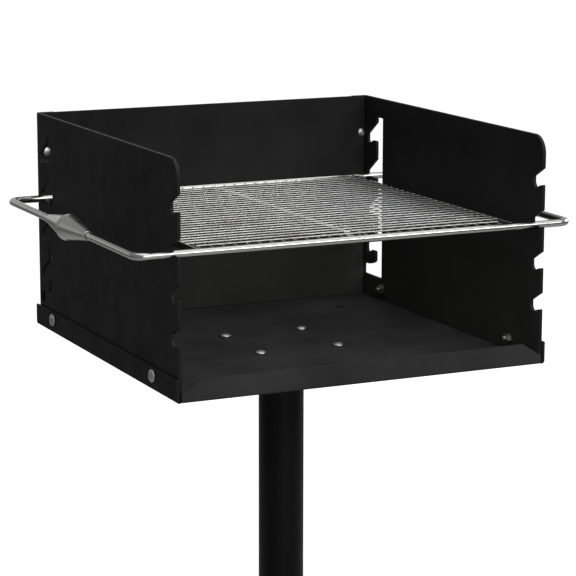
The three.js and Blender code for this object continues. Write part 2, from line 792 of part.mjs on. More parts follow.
/** The stations of the loop, from the middle of the rear rod all the way round to it. */
function loopStations(frontY, rearY) {
  const right = sideRodX - rodBendRadius;
  const bends = [
    { x: right, y: rearY - rodBendRadius, start: Math.PI / 2 },
    { x: right, y: frontY + rodBendRadius, start: 0 },
    { x: -right, y: frontY + rodBendRadius, start: -Math.PI / 2 },
    { x: -right, y: rearY - rodBendRadius, start: -Math.PI },
  ];
  const middle = { point: new THREE.Vector3(0, rearY, 0), tangent: new THREE.Vector3(1, 0, 0) };
  const stations = [middle];
  for (const bend of bends) {
    for (let step = 0; step <= bendSteps; step += 1) {
      const angle = bend.start - (step / bendSteps) * (Math.PI / 2);
      const across = new THREE.Vector3(Math.cos(angle), Math.sin(angle), 0);
      const point = new THREE.Vector3(bend.x, bend.y, 0).addScaledVector(across, rodBendRadius);
      stations.push({ point, tangent: new THREE.Vector3(across.y, -across.x, 0) });
    }
  }
  stations.push(middle);
  return stations;
}

/** The rod loop: one bent rod, closed by a butt weld in the middle of its rear run. */
function grateFrame(frontY, rearY) {
  const stations = loopStations(frontY, rearY);
  stations[0] = { ...stations[0], point: new THREE.Vector3(seam, rearY, 0) };
  stations[stations.length - 1] = { ...stations[0], point: new THREE.Vector3(-seam, rearY, 0) };
  const section = new THREE.Shape();
  section.absarc(0, 0, rodRadius, 0, Math.PI * 2, false);
  const options = {
    steps: stations.length - 1,
    extrudePath: new BentRodLine(stations),
    curveSegments: rodSides / 2,
  };
  const rod = new THREE.ExtrudeGeometry(section, options);
  const bead = bar(
    new THREE.Vector3(-weldBeadLength / 2, rearY, 0),
    new THREE.Vector3(weldBeadLength / 2, rearY, 0),
    rodRadius + weldBeadHeight,
    rodSides,
  );
  return piece('grate_frame', join(rod, bead), rodPlating);
}

/** The places of wires at even steps between two ends. */
function evenPlaces(start, end, step) {
  const count = Math.floor((end - start) / step);
  return Array.from({ length: count + 1 }, (_, index) => start + index * step);
}

/** The two layers of wires, the centre bar and the flat side bars of the mesh. */
function grateMesh(frontY, rearY) {
  const wireFrontY = frontY + rodRadius + seam;
  const wireRearY = rearY - rodRadius - seam;
  const upperZ = meshTopHeight - wireRadius;
  const lowerZ = upperZ - wireRadius * 2 - seam;
  const innerBarX = sideBarX - sideBarThickness / 2;
  const lengthPlaces = evenPlaces(wirePitch, innerBarX - wirePitch / 2, wirePitch);
  const crossPlaces = evenPlaces(frontY + rodRadius + frontWireInset, wireRearY - wirePitch / 2, wirePitch);
  const lengthwise = [...lengthPlaces.map((x) => -x), ...lengthPlaces].map((x) => bar(
    new THREE.Vector3(x, wireFrontY, lowerZ),
    new THREE.Vector3(x, wireRearY, lowerZ),
    wireRadius,
    wireSides,
  ));
  const lastX = lengthPlaces[lengthPlaces.length - 1] + wireRadius + seam;
  const tieZ = upperZ - seam - wireWeldDepth;
  const ties = [crossPlaces[0], crossPlaces[crossPlaces.length - 1]].map((y) => bar(
    new THREE.Vector3(-lastX, y, tieZ),
    new THREE.Vector3(lastX, y, tieZ),
    wireRadius,
    wireSides,
  ));
  const crossEndX = innerBarX - seam;
  const crosswise = crossPlaces.slice(1, -1).map((y) => bar(
    new THREE.Vector3(-crossEndX, y, upperZ),
    new THREE.Vector3(crossEndX, y, upperZ),
    wireRadius,
    wireSides,
  ));
  const halfBar = centreBarWidth / 2;
  const centreBar = boxBetween(
    new THREE.Vector3(-halfBar, crossPlaces[1] - wirePitch / 3, -rodRadius),
    new THREE.Vector3(halfBar, crossPlaces[crossPlaces.length - 2] + wirePitch / 3, upperZ),
  );
  const centreBarEnds = boxBetween(
    new THREE.Vector3(-halfBar, wireFrontY, -rodRadius),
    new THREE.Vector3(halfBar, wireRearY - weldBeadHeight, tieZ - wireRadius - centreBarEndDrop),
  );
  const sideBars = [['left', -1], ['right', 1]].map(([word, side]) => {
    const x = side * sideBarX;
    const half = sideBarThickness / 2;
    return piece(`grate_side_bar_${word}`, boxBetween(
      new THREE.Vector3(x - half, wireFrontY, meshTopHeight - sideBarHeight),
      new THREE.Vector3(x + half, wireRearY, meshTopHeight),
    ), rodPlating);
  });
  return [
    piece('grate_long_wires', join(...ties, ...lengthwise), rodPlating),
    piece('grate_cross_wires', join(centreBar, centreBarEnds, ...crosswise), rodPlating),
    ...sideBars,
  ];
}

/** A grip: two cones base to base with a bore, that turns on the side rod. */
function grip(name, side, centreY) {
  const halfLength = gripLength / 2;
  const bore = rodRadius + seam;
  const shoulder = halfLength - gripCollarLength;
  const equator = gripEquatorLength / 2;
  const profile = [
    [bore, -halfLength],
    [gripEndRadius, -halfLength],
    [gripEndRadius, -shoulder],
    [gripRadius - equator / 2, -equator],
    [gripRadius, 0],
    [gripRadius - equator / 2, equator],
    [gripEndRadius, shoulder],
    [gripEndRadius, halfLength],
    [bore, halfLength],
    [bore, -halfLength],
  ];
  const points = profile.map(([radius, along]) => new THREE.Vector2(radius, along));
  const mesh = piece(name, new THREE.LatheGeometry(points, middleSides), gripPlating);
  mesh.position.set(side * sideRodX, centreY, 0);
  return mesh;
}

/** The grate with its grips, hooked on its rest level. */
function grate() {
  const group = new THREE.Group();
  const gripCentreY = (notchSeatY + pocketSeatY) / 2;
  group.add(grateFrame(notchSeatY, pocketSeatY), ...grateMesh(notchSeatY, pocketSeatY));
  group.add(grip('grip_left', -1, gripCentreY), grip('grip_right', 1, gripCentreY));
  group.position.z = lowestSeat + levelsUnderGrateCount * levelStep + rodRadius + seam;
  return group;
}

/** The head: all that turns on the post. */
function head() {
  const group = new THREE.Group();
  group.add(mountPlate(), swivelStub(), firePan());
  for (const [word, side] of [['left', -1], ['right', 1]]) {
    group.add(sidePlate(`side_plate_${word}`, side));
    group.add(...sideFasteners(word, side), ...backFasteners(word, side));
  }
  group.add(backPlate(), ...floorFasteners(), grate());
  group.position.z = panUndersideHeight;
  return group;
}

const grill = new THREE.Group();
grill.add(pedestal(), head());

export default grill;
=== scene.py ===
"""The looks of a park barbecue grill on a pedestal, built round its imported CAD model."""
import random
from math import atan2, copysign, cos, degrees, pi, radians, sin, sqrt, tan

import bmesh
import bpy
from mathutils import Matrix, Vector
from mathutils.geometry import tessellate_polygon

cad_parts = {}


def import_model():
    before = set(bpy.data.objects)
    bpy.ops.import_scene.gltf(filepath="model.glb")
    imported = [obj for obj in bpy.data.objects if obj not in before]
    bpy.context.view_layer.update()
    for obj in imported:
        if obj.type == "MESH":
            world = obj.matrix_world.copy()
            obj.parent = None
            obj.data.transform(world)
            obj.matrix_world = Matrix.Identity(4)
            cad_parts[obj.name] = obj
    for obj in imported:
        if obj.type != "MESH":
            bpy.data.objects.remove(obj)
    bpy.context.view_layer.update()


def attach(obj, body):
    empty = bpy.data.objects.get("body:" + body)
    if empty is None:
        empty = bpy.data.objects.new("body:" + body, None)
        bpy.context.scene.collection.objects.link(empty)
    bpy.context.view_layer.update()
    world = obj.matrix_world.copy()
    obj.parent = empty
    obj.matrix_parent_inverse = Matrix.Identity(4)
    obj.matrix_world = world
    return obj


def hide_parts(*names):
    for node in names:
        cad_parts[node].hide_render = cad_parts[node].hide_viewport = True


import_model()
UP = Vector((0, 0, 1))

# All sizes are millimetres, as in the CAD source. A mesh is scaled to metres when it is made.
MM = 0.001
HEAD = 762.0
SEAM = 0.3
SIDES = ((-1, "left"), (1, "right"))

# Box
HALF_WIDTH, HALF_DEPTH, BOX_HEIGHT = 254.0, 251.0, 292.5
PAN_SHEET, PAN_BEND, PAN_FLANGE = 3.0, 4.2, 28.7
PLATE, PLATE_BEND, PLATE_FLANGE, TOP_CORNER = 4.5, 6.0, 25.0, 23.0
PLATE_OUTER = HALF_WIDTH - PAN_SHEET - SEAM
PLATE_INNER = PLATE_OUTER - PLATE
PLATE_REAR = HALF_DEPTH - PAN_SHEET - SEAM
PLATE_FRONT = -PLATE_REAR
PLATE_BOTTOM = PAN_SHEET + SEAM
BACK_PLATE = 3.0
BACK_FRONT = PLATE_REAR - PLATE - SEAM - BACK_PLATE

# Levels
LOWEST_SEAT, LEVEL_STEP, LEVELS = 66.1, 53.2, 4
SEATS = [LOWEST_SEAT + LEVEL_STEP * level for level in range(LEVELS)]
REST_SEAT = SEATS[2]

# Notches in the front edges of the side plates
NOTCH_SEAT = PLATE_FRONT + 14.9
NOTCH_RADIUS, NOTCH_LIP_INSET, NOTCH_LIP_HEIGHT, NOTCH_LIP_ROUND = 7.4, 9.2, 4.6, 1.6
NOTCH_BACK_HEIGHT, NOTCH_BACK_ROUND, NOTCH_MOUTH_HEIGHT = 13.4, 3.6, 25.8
NOTCH_SLOPE = tan(radians(29.6))

# Rear slot, with the hooked pockets behind it
CHANNEL_WIDTH = 19.7
CHANNEL_FRONT = PLATE_REAR - 61.2
CHANNEL_REAR = CHANNEL_FRONT + CHANNEL_WIDTH
CHANNEL_TOP, CHANNEL_BOTTOM = BOX_HEIGHT - 27.5, 33.5
POCKET_SEAT = CHANNEL_REAR + 21.0 - SEAM
POCKET_RADIUS, POCKET_BACK_HEIGHT, POCKET_SLOPE = 5.7, 12.6, tan(radians(35.4))
LEDGE_HEIGHT, LEDGE_LENGTH, LEDGE_ROUND, RAMP_ANGLE = 4.6, 8.5, 2.5, 30
SLOT_FOOT_INSET, SLOT_FOOT_HEIGHT, SLOT_FOOT_BELLY, LOWEST_TOOTH_DROP = 6.2, 16, 3, 9.9

# Fasteners
SIDE_BOLT = {"radius": 3.97, "dome": 8.25, "rise": 4.2, "neck": 4.1, "neck_length": 3.2, "tail": 3}
SIDE_NUT = {"width": 12.7, "height": 6.7}
BACK_BOLT = {"radius": 3.18, "dome": 6.2, "rise": 3.2, "neck": 3.3, "neck_length": 2.6, "tail": 2.5}
BACK_NUT = {"width": 11.1, "height": 5.4}
SIDE_BOLT_YS, SIDE_BOLT_Z = (-174.0, 183.0), 18.6
BACK_BOLT_X, BACK_BOLT_ZS = PLATE_OUTER - 11.2, (91.5, 239.5)
FLOOR_BOLT = 56.0
BOLT_PITCH, BOLT_THREAD = 1.27, 0.62
NUT_SIDES = 72

# Post
POST_RADIUS, POST_WALL = 30.15, 3.9
FOOT_WIDTH, FOOT_PLATE, ANCHOR_INSET, ANCHOR_RADIUS = 254.0, 9.5, 29.0, 8.0
MOUNT_WIDTH, MOUNT_PLATE = 152.0, 6.4
GUSSET, GUSSET_INSET, GUSSET_HEIGHT, GUSSET_TIP = 6.4, 34.5, 92.0, 10.0
POST_TOP = HEAD - SEAM * 2 - MOUNT_PLATE
STUB_RADIUS, STUB_WALL, STUB_LENGTH = 24.15, 3.7, 130.0
GROOVE_DEPTH, GROOVE_HALF = 1.6, 6.25
LOCK_Z = POST_TOP - 44.0
LOCK_RADIUS, LOCK_PITCH, LOCK_THREAD, LOCK_STAND_OFF = 4.75, 1.5, 0.72, 3.0
LOCK_NUT, LOCK_HEAD = {"width": 19.0, "height": 9.0}, {"width": 14.3, "height": 6.2}

# Grate
ROD, WIRE, PITCH, ROD_BEND, SIDE_ROD = 4.75, 1.1, 15.9, 15.0, 296.5
GRATE_Z = HEAD + REST_SEAT + ROD + SEAM
MESH_TOP, CROSS_START = 3.9, 24.6
SIDE_BAR_X, SIDE_BAR, SIDE_BAR_HEIGHT = PLATE_INNER - 29.2, 3.0, 8.2
GRIP_LENGTH, GRIP_RADIUS, GRIP_END = 141.0, 17.2, 6.3


# Lines in a plane

def arc(centre, radius, start, end, steps):
    """Points on an arc, both ends included, with the angles in degrees."""
    angles = [radians(start + (end - start) * k / steps) for k in range(steps + 1)]
    return [(centre[0] + radius * cos(a), centre[1] + radius * sin(a)) for a in angles]


def bezier(points, steps):
    """Points on a Bezier curve of any order, without its first point."""
    out = []
    for k in range(1, steps + 1):
        level, t = [Vector(p) for p in points], k / steps
        while len(level) > 1:
            level = [a.lerp(b, t) for a, b in zip(level, level[1:])]
        out.append((level[0].x, level[0].y))
    return out


def rounded(loop, radius, least=30.0, most=0.45):
    """The loop with a small round at each corner that turns by the least angle or more."""
    out = []
    for i, p in enumerate(loop):
        here = Vector(p)
        back, ahead = Vector(loop[i - 1]) - here, Vector(loop[(i + 1) % len(loop)]) - here
        turn = 180.0 - degrees(back.angle(ahead)) if back.length and ahead.length else 0.0
        if turn < least:
            out.append(tuple(p))
            continue
        cut = min(radius, back.length * most, ahead.length * most)
        start, end = here + back.normalized() * cut, here + ahead.normalized() * cut
        out.append((start.x, start.y))
        out.extend(bezier([start, here, end], 4))
    return out


def area(loop):
    """The area in a loop, below zero where the loop runs clockwise."""
    return sum(a[0] * b[1] - b[0] * a[1] for a, b in zip(loop, loop[1:] + loop[:1])) / 2


def offset(loop, distance, sharpest=0.35):
    """The loop moved to its left, with its corners kept and very sharp ones held back."""
    out = []
    for i, p in enumerate(loop):
        here = Vector(p)
        before = (here - Vector(loop[i - 1])).normalized()
        after = (Vector(loop[(i + 1) % len(loop)]) - here).normalized()
        left_before, left_after = Vector((-before.y, before.x)), Vector((-after.y, after.x))
        reach = left_before + left_after
        scale = distance / max(sharpest, 1 + left_before.dot(left_after))
        out.append((here.x + reach.x * scale, here.y + reach.y * scale))
    return out


def turns(count):
    """The angles of even steps round a full turn."""
    return [2 * pi * k / count for k in range(count)]


def circle(centre, radius, steps=40):
    """Points round a circle."""
    return arc(centre, radius, 0, 360, steps)[:-1]


def square(centre, half, radius=0.5):
    """A square with rounded corners, given by half its width."""
    x, y = centre
    loop = [(x - half, y - half), (x + half, y - half), (x + half, y + half), (x - half, y + half)]
    return rounded(loop, radius)


def four(x, y):
    """The four points at plus and minus x and y."""
    return [(sx * x, sy * y) for sx in (-1, 1) for sy in (-1, 1)]


# Meshes

CAP, EDGE = 0, 1


def faced_out(bm):
    """The mesh with its faces turned outward."""
    bmesh.ops.recalc_face_normals(bm, faces=bm.faces)
    return bm


def placed(bm, matrix):
    """The mesh taken to its place."""
    bmesh.ops.transform(bm, matrix=matrix, verts=bm.verts)
    return bm


def data_of(name, bm):
    """An object's mesh, made from a working mesh, which is used up."""
    mesh = bpy.data.meshes.new(name)
    bm.to_mesh(mesh)
    bm.free()
    return mesh


def joined(bm, other):
    """The mesh with another one's faces in it as well. The other one is used up."""
    scratch = data_of("scratch", other)
    bm.from_mesh(scratch)
    bpy.data.meshes.remove(scratch)
    return bm


def in_scene(name, data):
    """A new object in the scene."""
    made = bpy.data.objects.new(name, data)
    bpy.context.scene.collection.objects.link(made)
    return made


def plate_mesh(loops, thickness, bevel, steps=3):
    """A plate about zero height with rounded edges, whose faces take the second material."""
    bm = bmesh.new()
    outer, *holes = loops
    loops = [outer if area(outer) > 0 else outer[::-1]]
    loops += [h if area(h) < 0 else h[::-1] for h in holes]
    half = thickness / 2
    angles = [pi / 2 * k / steps for k in range(steps + 1)]
    profile = [(bevel * (1 - sin(a)), half - bevel * (1 - cos(a))) for a in angles]
    profile += [(inset, -z) for inset, z in reversed(profile)]
    caps = {0: [], len(profile) - 1: []}
    for loop in loops:
        rings = []
        for level, (inset, z) in enumerate(profile):
            ring = offset(loop, inset) if inset > 1e-9 else loop
            rings.append([bm.verts.new((x, y, z)) for x, y in ring])
            if level in caps:
                caps[level].append(rings[-1])
        for upper, lower in zip(rings, rings[1:]):
            for i in range(len(loop)):
                j = (i + 1) % len(loop)
                bm.faces.new((upper[i], lower[i], lower[j], upper[j])).material_index = EDGE
    for level, rings in caps.items():
        flat = [v for ring in rings for v in ring]
        lines = [[Vector((v.co.x, v.co.y, 0)) for v in ring] for ring in rings]
        for triangle in tessellate_polygon(lines):
            corners = [flat[i] for i in triangle]
            if len(set(corners)) == 3:
                try:
                    bm.faces.new(corners).material_index = CAP
                except ValueError:
                    pass
    return faced_out(bm)


def cut_lines(bm, axis, places):
    """Splits every face of a mesh along planes across one axis, so that it can bend there."""
    normal = Vector([1.0 if k == axis else 0.0 for k in range(3)])
    for place in places:
        whole = bm.verts[:] + bm.edges[:] + bm.faces[:]
        bmesh.ops.bisect_plane(bm, geom=whole, dist=1e-5, plane_co=normal * place, plane_no=normal)


def moved(bm, place):
    """The mesh with each vertex moved to where a function puts it."""
    for v in bm.verts:
        v.co = place(v.co)
    return bm


def band(bm, low, high):
    """Joins two rings of vertices with faces. Where a ring is one point, they are triangles."""
    for i in range(len(low)):
        j = (i + 1) % len(low)
        corners = list(dict.fromkeys((low[i], low[j], high[j], high[i])))
        if len(corners) > 2:
            bm.faces.new(corners)


def lathe(bm, profile, steps, closed=False):
    """Turns a profile of (radius, height) about Z into a mesh."""
    rings = []
    for radius, z in profile:
        if radius < 1e-6:
            rings.append([bm.verts.new((0, 0, z))] * steps)
        else:
            ring = [(radius * cos(a), radius * sin(a), z) for a in turns(steps)]
            rings.append([bm.verts.new(p) for p in ring])
    for low, high in list(zip(rings, rings[1:])) + ([(rings[-1], rings[0])] if closed else []):
        band(bm, low, high)
    return bm


def grid(bm, rows):
    """Joins rows of points, each closed on itself, into a skin and returns their vertices."""
    made = [[bm.verts.new(p) for p in row] for row in rows]
    for low, high in zip(made, made[1:]):
        band(bm, low, high)
    return made


def tube(bm, points, radius, sides, closed=False):
    """A round tube along points. The radius is a number or a function of the share of the way."""
    points = [Vector(p) for p in points]
    count = len(points)
    tangents = []
    for i in range(count):
        before = points[i - 1] if closed or i else points[0]
        after = points[(i + 1) % count] if closed or i < count - 1 else points[-1]
        tangents.append((after - before).normalized())
    across = tangents[0].orthogonal().normalized()
    if abs(tangents[0].z) < 0.9:
        across = UP.cross(tangents[0]).normalized()
    rows = []
    for i, (point, tangent) in enumerate(zip(points, tangents)):
        across = (across - tangent * across.dot(tangent)).normalized()
        up = tangent.cross(across)
        r = radius(i / max(1, count - 1)) if callable(radius) else radius
        rows.append([point + (across * cos(a) + up * sin(a)) * r for a in turns(sides)])
    made = grid(bm, rows)
    if closed:
        band(bm, made[-1], made[0])
    else:
        bm.faces.new(made[0][::-1])
        bm.faces.new(made[-1])
    return bm


def blob(bm, centre, radii):
    """A small round lump of weld metal."""
    place = Matrix.Translation(centre) @ Matrix.Diagonal((*radii, 1))
    bmesh.ops.create_icosphere(bm, subdivisions=2, radius=1.0, matrix=place)


def bead(bm, points, radius, seed):
    """A weld bead along points: overlapping ripples of uneven size, thinner at its ends."""
    rng = random.Random(seed)
    line = resampled(points, 0.55)
    last, ripple, taper = len(line) - 1, 4, 5
    bulges = [rng.uniform(0.9, 1.12) for _ in range(len(line) + 2)]

    def size(share):
        at = share * last
        step = at / ripple
        wave = 0.86 + 0.2 * sqrt(max(0.0, sin(pi * (step % 1.0))))
        ends = min(1.0, 0.45 + at / taper, 0.45 + (last - at) / taper)
        return radius * wave * bulges[int(step)] * ends

    return tube(bm, line, size, 12)


def resampled(points, step):
    """The same line with points at about even steps."""
    points = [Vector(p) for p in points]
    out = [points[0]]
    for a, b in zip(points, points[1:]):
        count = max(1, round((b - a).length / step))
        out.extend(a.lerp(b, k / count) for k in range(1, count + 1))
    return out


def thread_rows(radius, start, end, pitch, depth, steps):
    """Rows of points of a helical thread between two heights, fading out at both."""
    rows = []
    count = max(2, int(abs(end - start) / pitch * 5))
    for k in range(count + 1):
        z = start + (end - start) * k / count
        fade = min(1.0, abs(z - end) / pitch, abs(z - start) / pitch)
        row = []
        for i, a in enumerate(turns(steps)):
            height = abs((z / pitch - i / steps) % 1.0 * 2 - 1)
            r = radius - depth * (1 - height) * fade
            row.append((r * cos(a), r * sin(a), z))
        rows.append(row)
    return rows


def hex_rings(nut, bore, chamfered_below=True):
    """Six rings of points over a nut's top, sides and foot, from zero height down."""
    apothem, height = nut["width"] / 2, nut["height"]
    chamfer, slope = apothem * 0.96, tan(radians(28))
    rings = [[] for _ in range(6)]
    for a in turns(NUT_SIDES):
        fold = (a + pi / 6) % (pi / 3) - pi / 6
        reach = apothem / cos(fold)
        drop = (reach - chamfer) * slope
        low = -height + (drop if chamfered_below else 0)
        points = [(bore, 0), (chamfer, 0), (reach, -drop)]
        points += [(reach, low), (chamfer, -height), (bore, -height)]
        for ring, (r, z) in zip(rings, points):
            ring.append((r * cos(a), r * sin(a), z))
    return rings


# Putting pieces in the scene

def show(name, ending, bm, body, finish, smooth=40.0):
    """Makes a piece from a mesh in millimetres, riding on a body.

    A piece with an ending to its name stands for the CAD node of the name before it. Edges
    between two materials, or bent by more than the angle, are sharp.
    """
    nodes = [name] if ending else []
    name += ending
    materials, slot = finish
    bmesh.ops.scale(bm, vec=(MM, MM, MM), verts=bm.verts)
    for face in bm.faces:
        face.smooth = True
    for edge in bm.edges:
        parted = len({f.material_index for f in edge.link_faces}) > 1
        bent = len(edge.link_faces) == 2 and edge.calc_face_angle(0.0) > radians(smooth)
        if parted or bent:
            edge.smooth = False
    piece = in_scene(name, data_of(name, bm))
    for one in materials:
        piece.data.materials.append(one)
    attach(piece, body)
    if nodes:
        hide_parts(*nodes)
    return piece


def cut_by(piece, cutter_bm):
    """Cuts a shape in millimetres out of a shown piece and leaves no modifier on it."""
    bmesh.ops.scale(cutter_bm, vec=(MM, MM, MM), verts=cutter_bm.verts)
    cutter = in_scene("cutter", data_of("cutter", faced_out(cutter_bm)))
    modifier = piece.modifiers.new("cut", "BOOLEAN")
    modifier.object, modifier.operation, modifier.solver = cutter, "DIFFERENCE", "EXACT"
    shaped = piece.evaluated_get(bpy.context.evaluated_depsgraph_get())
    result = bpy.data.meshes.new_from_object(shaped)
    piece.modifiers.clear()
    piece.data = result
    bpy.data.objects.remove(cutter)


# Materials

RUBBED, DUST = (0.05, 0.049, 0.047), (0.075, 0.072, 0.068)
BARE_STEEL, GRIME = (0.2, 0.195, 0.185), (0.12, 0.105, 0.09)


def link(tree, node, name, value):
    """Sets a socket, found by name or number, to a value or to another node's output."""
    if isinstance(value, bpy.types.NodeSocket):
        tree.links.new(value, node.inputs[name])
    else:
        node.inputs[name].default_value = value


def add(tree, kind, out=0, settings=None, **inputs):
    """Adds a node with its settings and inputs, and returns one of its outputs."""
    node = tree.nodes.new("ShaderNode" + kind)
    for key, value in (settings or {}).items():
        setattr(node, key, value)
    for key, value in inputs.items():
        numbered = key[0] == "i" and key[1:].isdigit()
        link(tree, node, int(key[1:]) if numbered else key.replace("_", " "), value)
    return node.outputs[out]


def calc(tree, operation, first, second=0.0):
    """The result of a Math node."""
    return add(tree, "Math", settings={"operation": operation}, i0=first, i1=second)


def product(tree, first, *others):
    """Two or more values multiplied by one another."""
    for other in others:
        first = calc(tree, "MULTIPLY", first, other)
    return first


def parts(tree, vector):
    """The X, Y and Z of a vector."""
    return list(add(tree, "SeparateXYZ", Vector=vector).node.outputs)


def noise(tree, where, scale, detail=3.0, rough=0.5):
    """Soft noise between zero and one, finer with a larger scale."""
    return add(tree, "TexNoise", Vector=where, Scale=scale, Detail=detail, Roughness=rough)


def spread(tree, value, low, high, to_low=0.0, to_high=1.0):
    """A value stretched from one range to another, and held within it."""
    ends = {"From_Min": low, "From_Max": high, "To_Min": to_low, "To_Max": to_high}
    return add(tree, "MapRange", Value=value, **ends)


def toned(colour, factor):
    """A colour made lighter or darker."""
    return [c * factor for c in colour]


def blend_colour(tree, share, first, second):
    """Two colours mixed, more of the second with a larger share."""
    fed = bpy.types.NodeSocket
    first, second = (c if isinstance(c, fed) else (*c, 1.0) for c in (first, second))
    # A Mix node's colours go in at 6 and 7 and come out at 2. Its other types share their names.
    return add(tree, "Mix", out=2, settings={"data_type": "RGBA"}, i0=share, i6=first, i7=second)


def bumps(tree, layers):
    """Bump nodes laid one on another, each given as (height, depth in metres, strength)."""
    below = {}
    for height, depth, strength in layers:
        bump = add(tree, "Bump", Height=height, Distance=depth, Strength=strength, **below)
        below = {"Normal": bump}
    return bump


def material(name):
    """A new material with its tree and object coordinates in metres."""
    made = bpy.data.materials.new(name)
    made.use_nodes = True
    return made, made.node_tree, add(made.node_tree, "TexCoord", out="Object")


def dressed(made, colour, rough, layers=(), specular=0.5, metallic=0.0):
    """The material with the values and the bumps of its shader set."""
    tree = made.node_tree
    shader = tree.nodes["Principled BSDF"]
    for name, value in (("Base Color", colour), ("Roughness", rough), ("Metallic", metallic),
                        ("Specular IOR Level", specular)):
        link(tree, shader, name, value)
    if layers:
        link(tree, shader, "Normal", bumps(tree, layers))
    return made


def inner_light_share(tree, where):
    """How much painted light lifts the shade on the box's inner faces: most at the foot, hardly any
    at the top.
    """
    x, y, z = parts(tree, where)
    across = calc(tree, "ABSOLUTE", x)
    between = spread(tree, across, (PLATE_OUTER - 2) * MM, (PLATE_INNER + 1) * MM)
    before = spread(tree, y, (BACK_FRONT + 2) * MM, (BACK_FRONT + 1) * MM)
    low = spread(tree, z, (HEAD + BOX_HEIGHT * 0.9) * MM, (HEAD + BOX_HEIGHT * 0.1) * MM)
    patchy = spread(tree, noise(tree, where, 16.0, 4.0, 0.6), 0.3, 0.7, 0.65, 1.0)
    return product(tree, between, before, low, patchy)


def flank_shade_share(tree, where):
    """One on the outside of the pan's side and rear flanges, and zero on its floor and its lip: the
    flanges take the box's darker tone as painted shade, while the lip keeps the pan's lighter paint
    as painted light.
    """
    x, y, _ = parts(tree, where)
    across = calc(tree, "ABSOLUTE", x)
    side = spread(tree, across, (HALF_WIDTH - PAN_SHEET) * MM, (HALF_WIDTH - 1) * MM)
    rear = spread(tree, y, (HALF_DEPTH - PAN_SHEET) * MM, (HALF_DEPTH - 1) * MM)
    return calc(tree, "MAXIMUM", side, rear)


def paint(name, base, rough, specular, wear, second=None):
    """Black paint on sheet steel: cloudy tone, fine grain, a few rubs and specks of dust.

    A second tone is given as what finds its share of the surface, and its colour. Both second tones
    here are painted: painted light low on the box's inner faces, and the box's darker tone as
    painted shade on the pan's flanges.
    """
    made, tree, where = material(name)
    cloud = spread(tree, noise(tree, where, 9.0, 4.0), 0.35, 0.68)
    fine = noise(tree, where, 240.0, 2.0)
    tall = add(tree, "Mapping", Vector=where, Scale=(34.0, 34.0, 2.6))
    streak = spread(tree, noise(tree, tall, 1.0, 3.0, 0.6), 0.56, 0.72)
    specks = spread(tree, add(tree, "TexVoronoi", Vector=where, Scale=330.0), 0.0, 0.16, 1.0, 0.0)
    rare = spread(tree, noise(tree, where, 45.0, 2.0), 0.58, 0.66)
    colour = blend_colour(tree, cloud, toned(base, 0.78), toned(base, 1.3))
    if second:
        share, tone = second
        colour = blend_colour(tree, share(tree, where), colour, tone)
    colour = blend_colour(tree, product(tree, streak, wear), colour, RUBBED)
    colour = blend_colour(tree, product(tree, specks, rare, 0.5), colour, DUST)
    patches = noise(tree, where, 28.0, 4.0, 0.6)
    matt = spread(tree, patches, 0.3, 0.7, rough - 0.08, rough + 0.1)
    dimples = noise(tree, where, 520.0, 2.0)
    layers = [(fine, 0.00016, 0.35), (dimples, 0.00007, 0.4), (specks, -0.00005, 0.25)]
    return dressed(made, colour, matt, layers, specular)


def worn_and_top_lit_edge(name, base, lit_top_tone, rough, specular, bare=0.35):
    """The cut edge of a painted plate: thin, shiny paint with small rubs down to grey steel. Faces
    that point up take the lighter top tone, painted light from above with a little dust; the other
    faces are painted darker, as painted shade, and the bare chips show mostly on the faces that
    point up.
    """
    made, tree, where = material(name)
    cloud = spread(tree, noise(tree, where, 60.0, 4.0, 0.6), 0.3, 0.7)
    chips = spread(tree, noise(tree, where, 170.0, 4.0, 0.65), 0.6, 0.68)
    stretch = spread(tree, noise(tree, where, 11.0, 2.0), 0.42, 0.62, 0.15, 1.0)
    # Painted light from above, with a little dust: faces that point up take the lighter top tone,
    # the others half the base tone as painted shade.
    upward = parts(tree, add(tree, "NewGeometry", out="Normal"))[2]
    top_light_and_dust = spread(tree, upward, 0.1, 0.9, 0.12, 1.0)
    light = blend_colour(tree, top_light_and_dust, toned(base, 0.5), lit_top_tone)
    colour = blend_colour(tree, cloud, toned(base, 0.7), light)
    colour = blend_colour(tree, product(tree, chips, stretch, top_light_and_dust, bare), colour, BARE_STEEL)
    matt = spread(tree, cloud, 0.0, 1.0, rough + 0.08, rough - 0.06)
    layers = [(noise(tree, where, 700.0, 2.0), 0.00006, 0.4), (chips, -0.00008, 0.4)]
    return dressed(made, colour, matt, layers, specular)


def plating(name, bright, dull, rough, grime, scale=1.0, brushed=(1.0, 1.0, 1.0)):
    """Plated steel: mottled shine, faint drawing marks and a little grime."""
    made, tree, where = material(name)
    mottle = spread(tree, noise(tree, where, 90.0 * scale, 4.0, 0.6), 0.32, 0.68)
    patch = spread(tree, noise(tree, where, 14.0 * scale, 3.0), 0.52, 0.7)
    marks = noise(tree, add(tree, "Mapping", Vector=where, Scale=brushed), 900.0, 2.0)
    colour = blend_colour(tree, mottle, dull, bright)
    share = product(tree, patch, grime)
    colour = blend_colour(tree, share, colour, GRIME)
    span = spread(tree, mottle, 0.0, 1.0, rough + 0.07, rough - 0.04)
    matt = calc(tree, "ADD", span, product(tree, share, 0.25))
    layers = [(marks, 0.00001, 0.25), (mottle, 0.00004, 0.15)]
    return dressed(made, colour, matt, layers, metallic=1.0)


def weld_metal(name, base, rough, specular):
    """A painted weld bead: rough, with fine spatter grain."""
    made, tree, where = material(name)
    cloud = spread(tree, noise(tree, where, 130.0, 4.0), 0.3, 0.7)
    colour = blend_colour(tree, cloud, toned(base, 0.8), toned(base, 1.6))
    matt = spread(tree, cloud, 0.0, 1.0, rough + 0.1, rough - 0.05)
    layers = [(noise(tree, where, 650.0, 3.0), 0.00015, 0.6)]
    return dressed(made, colour, matt, layers, specular)
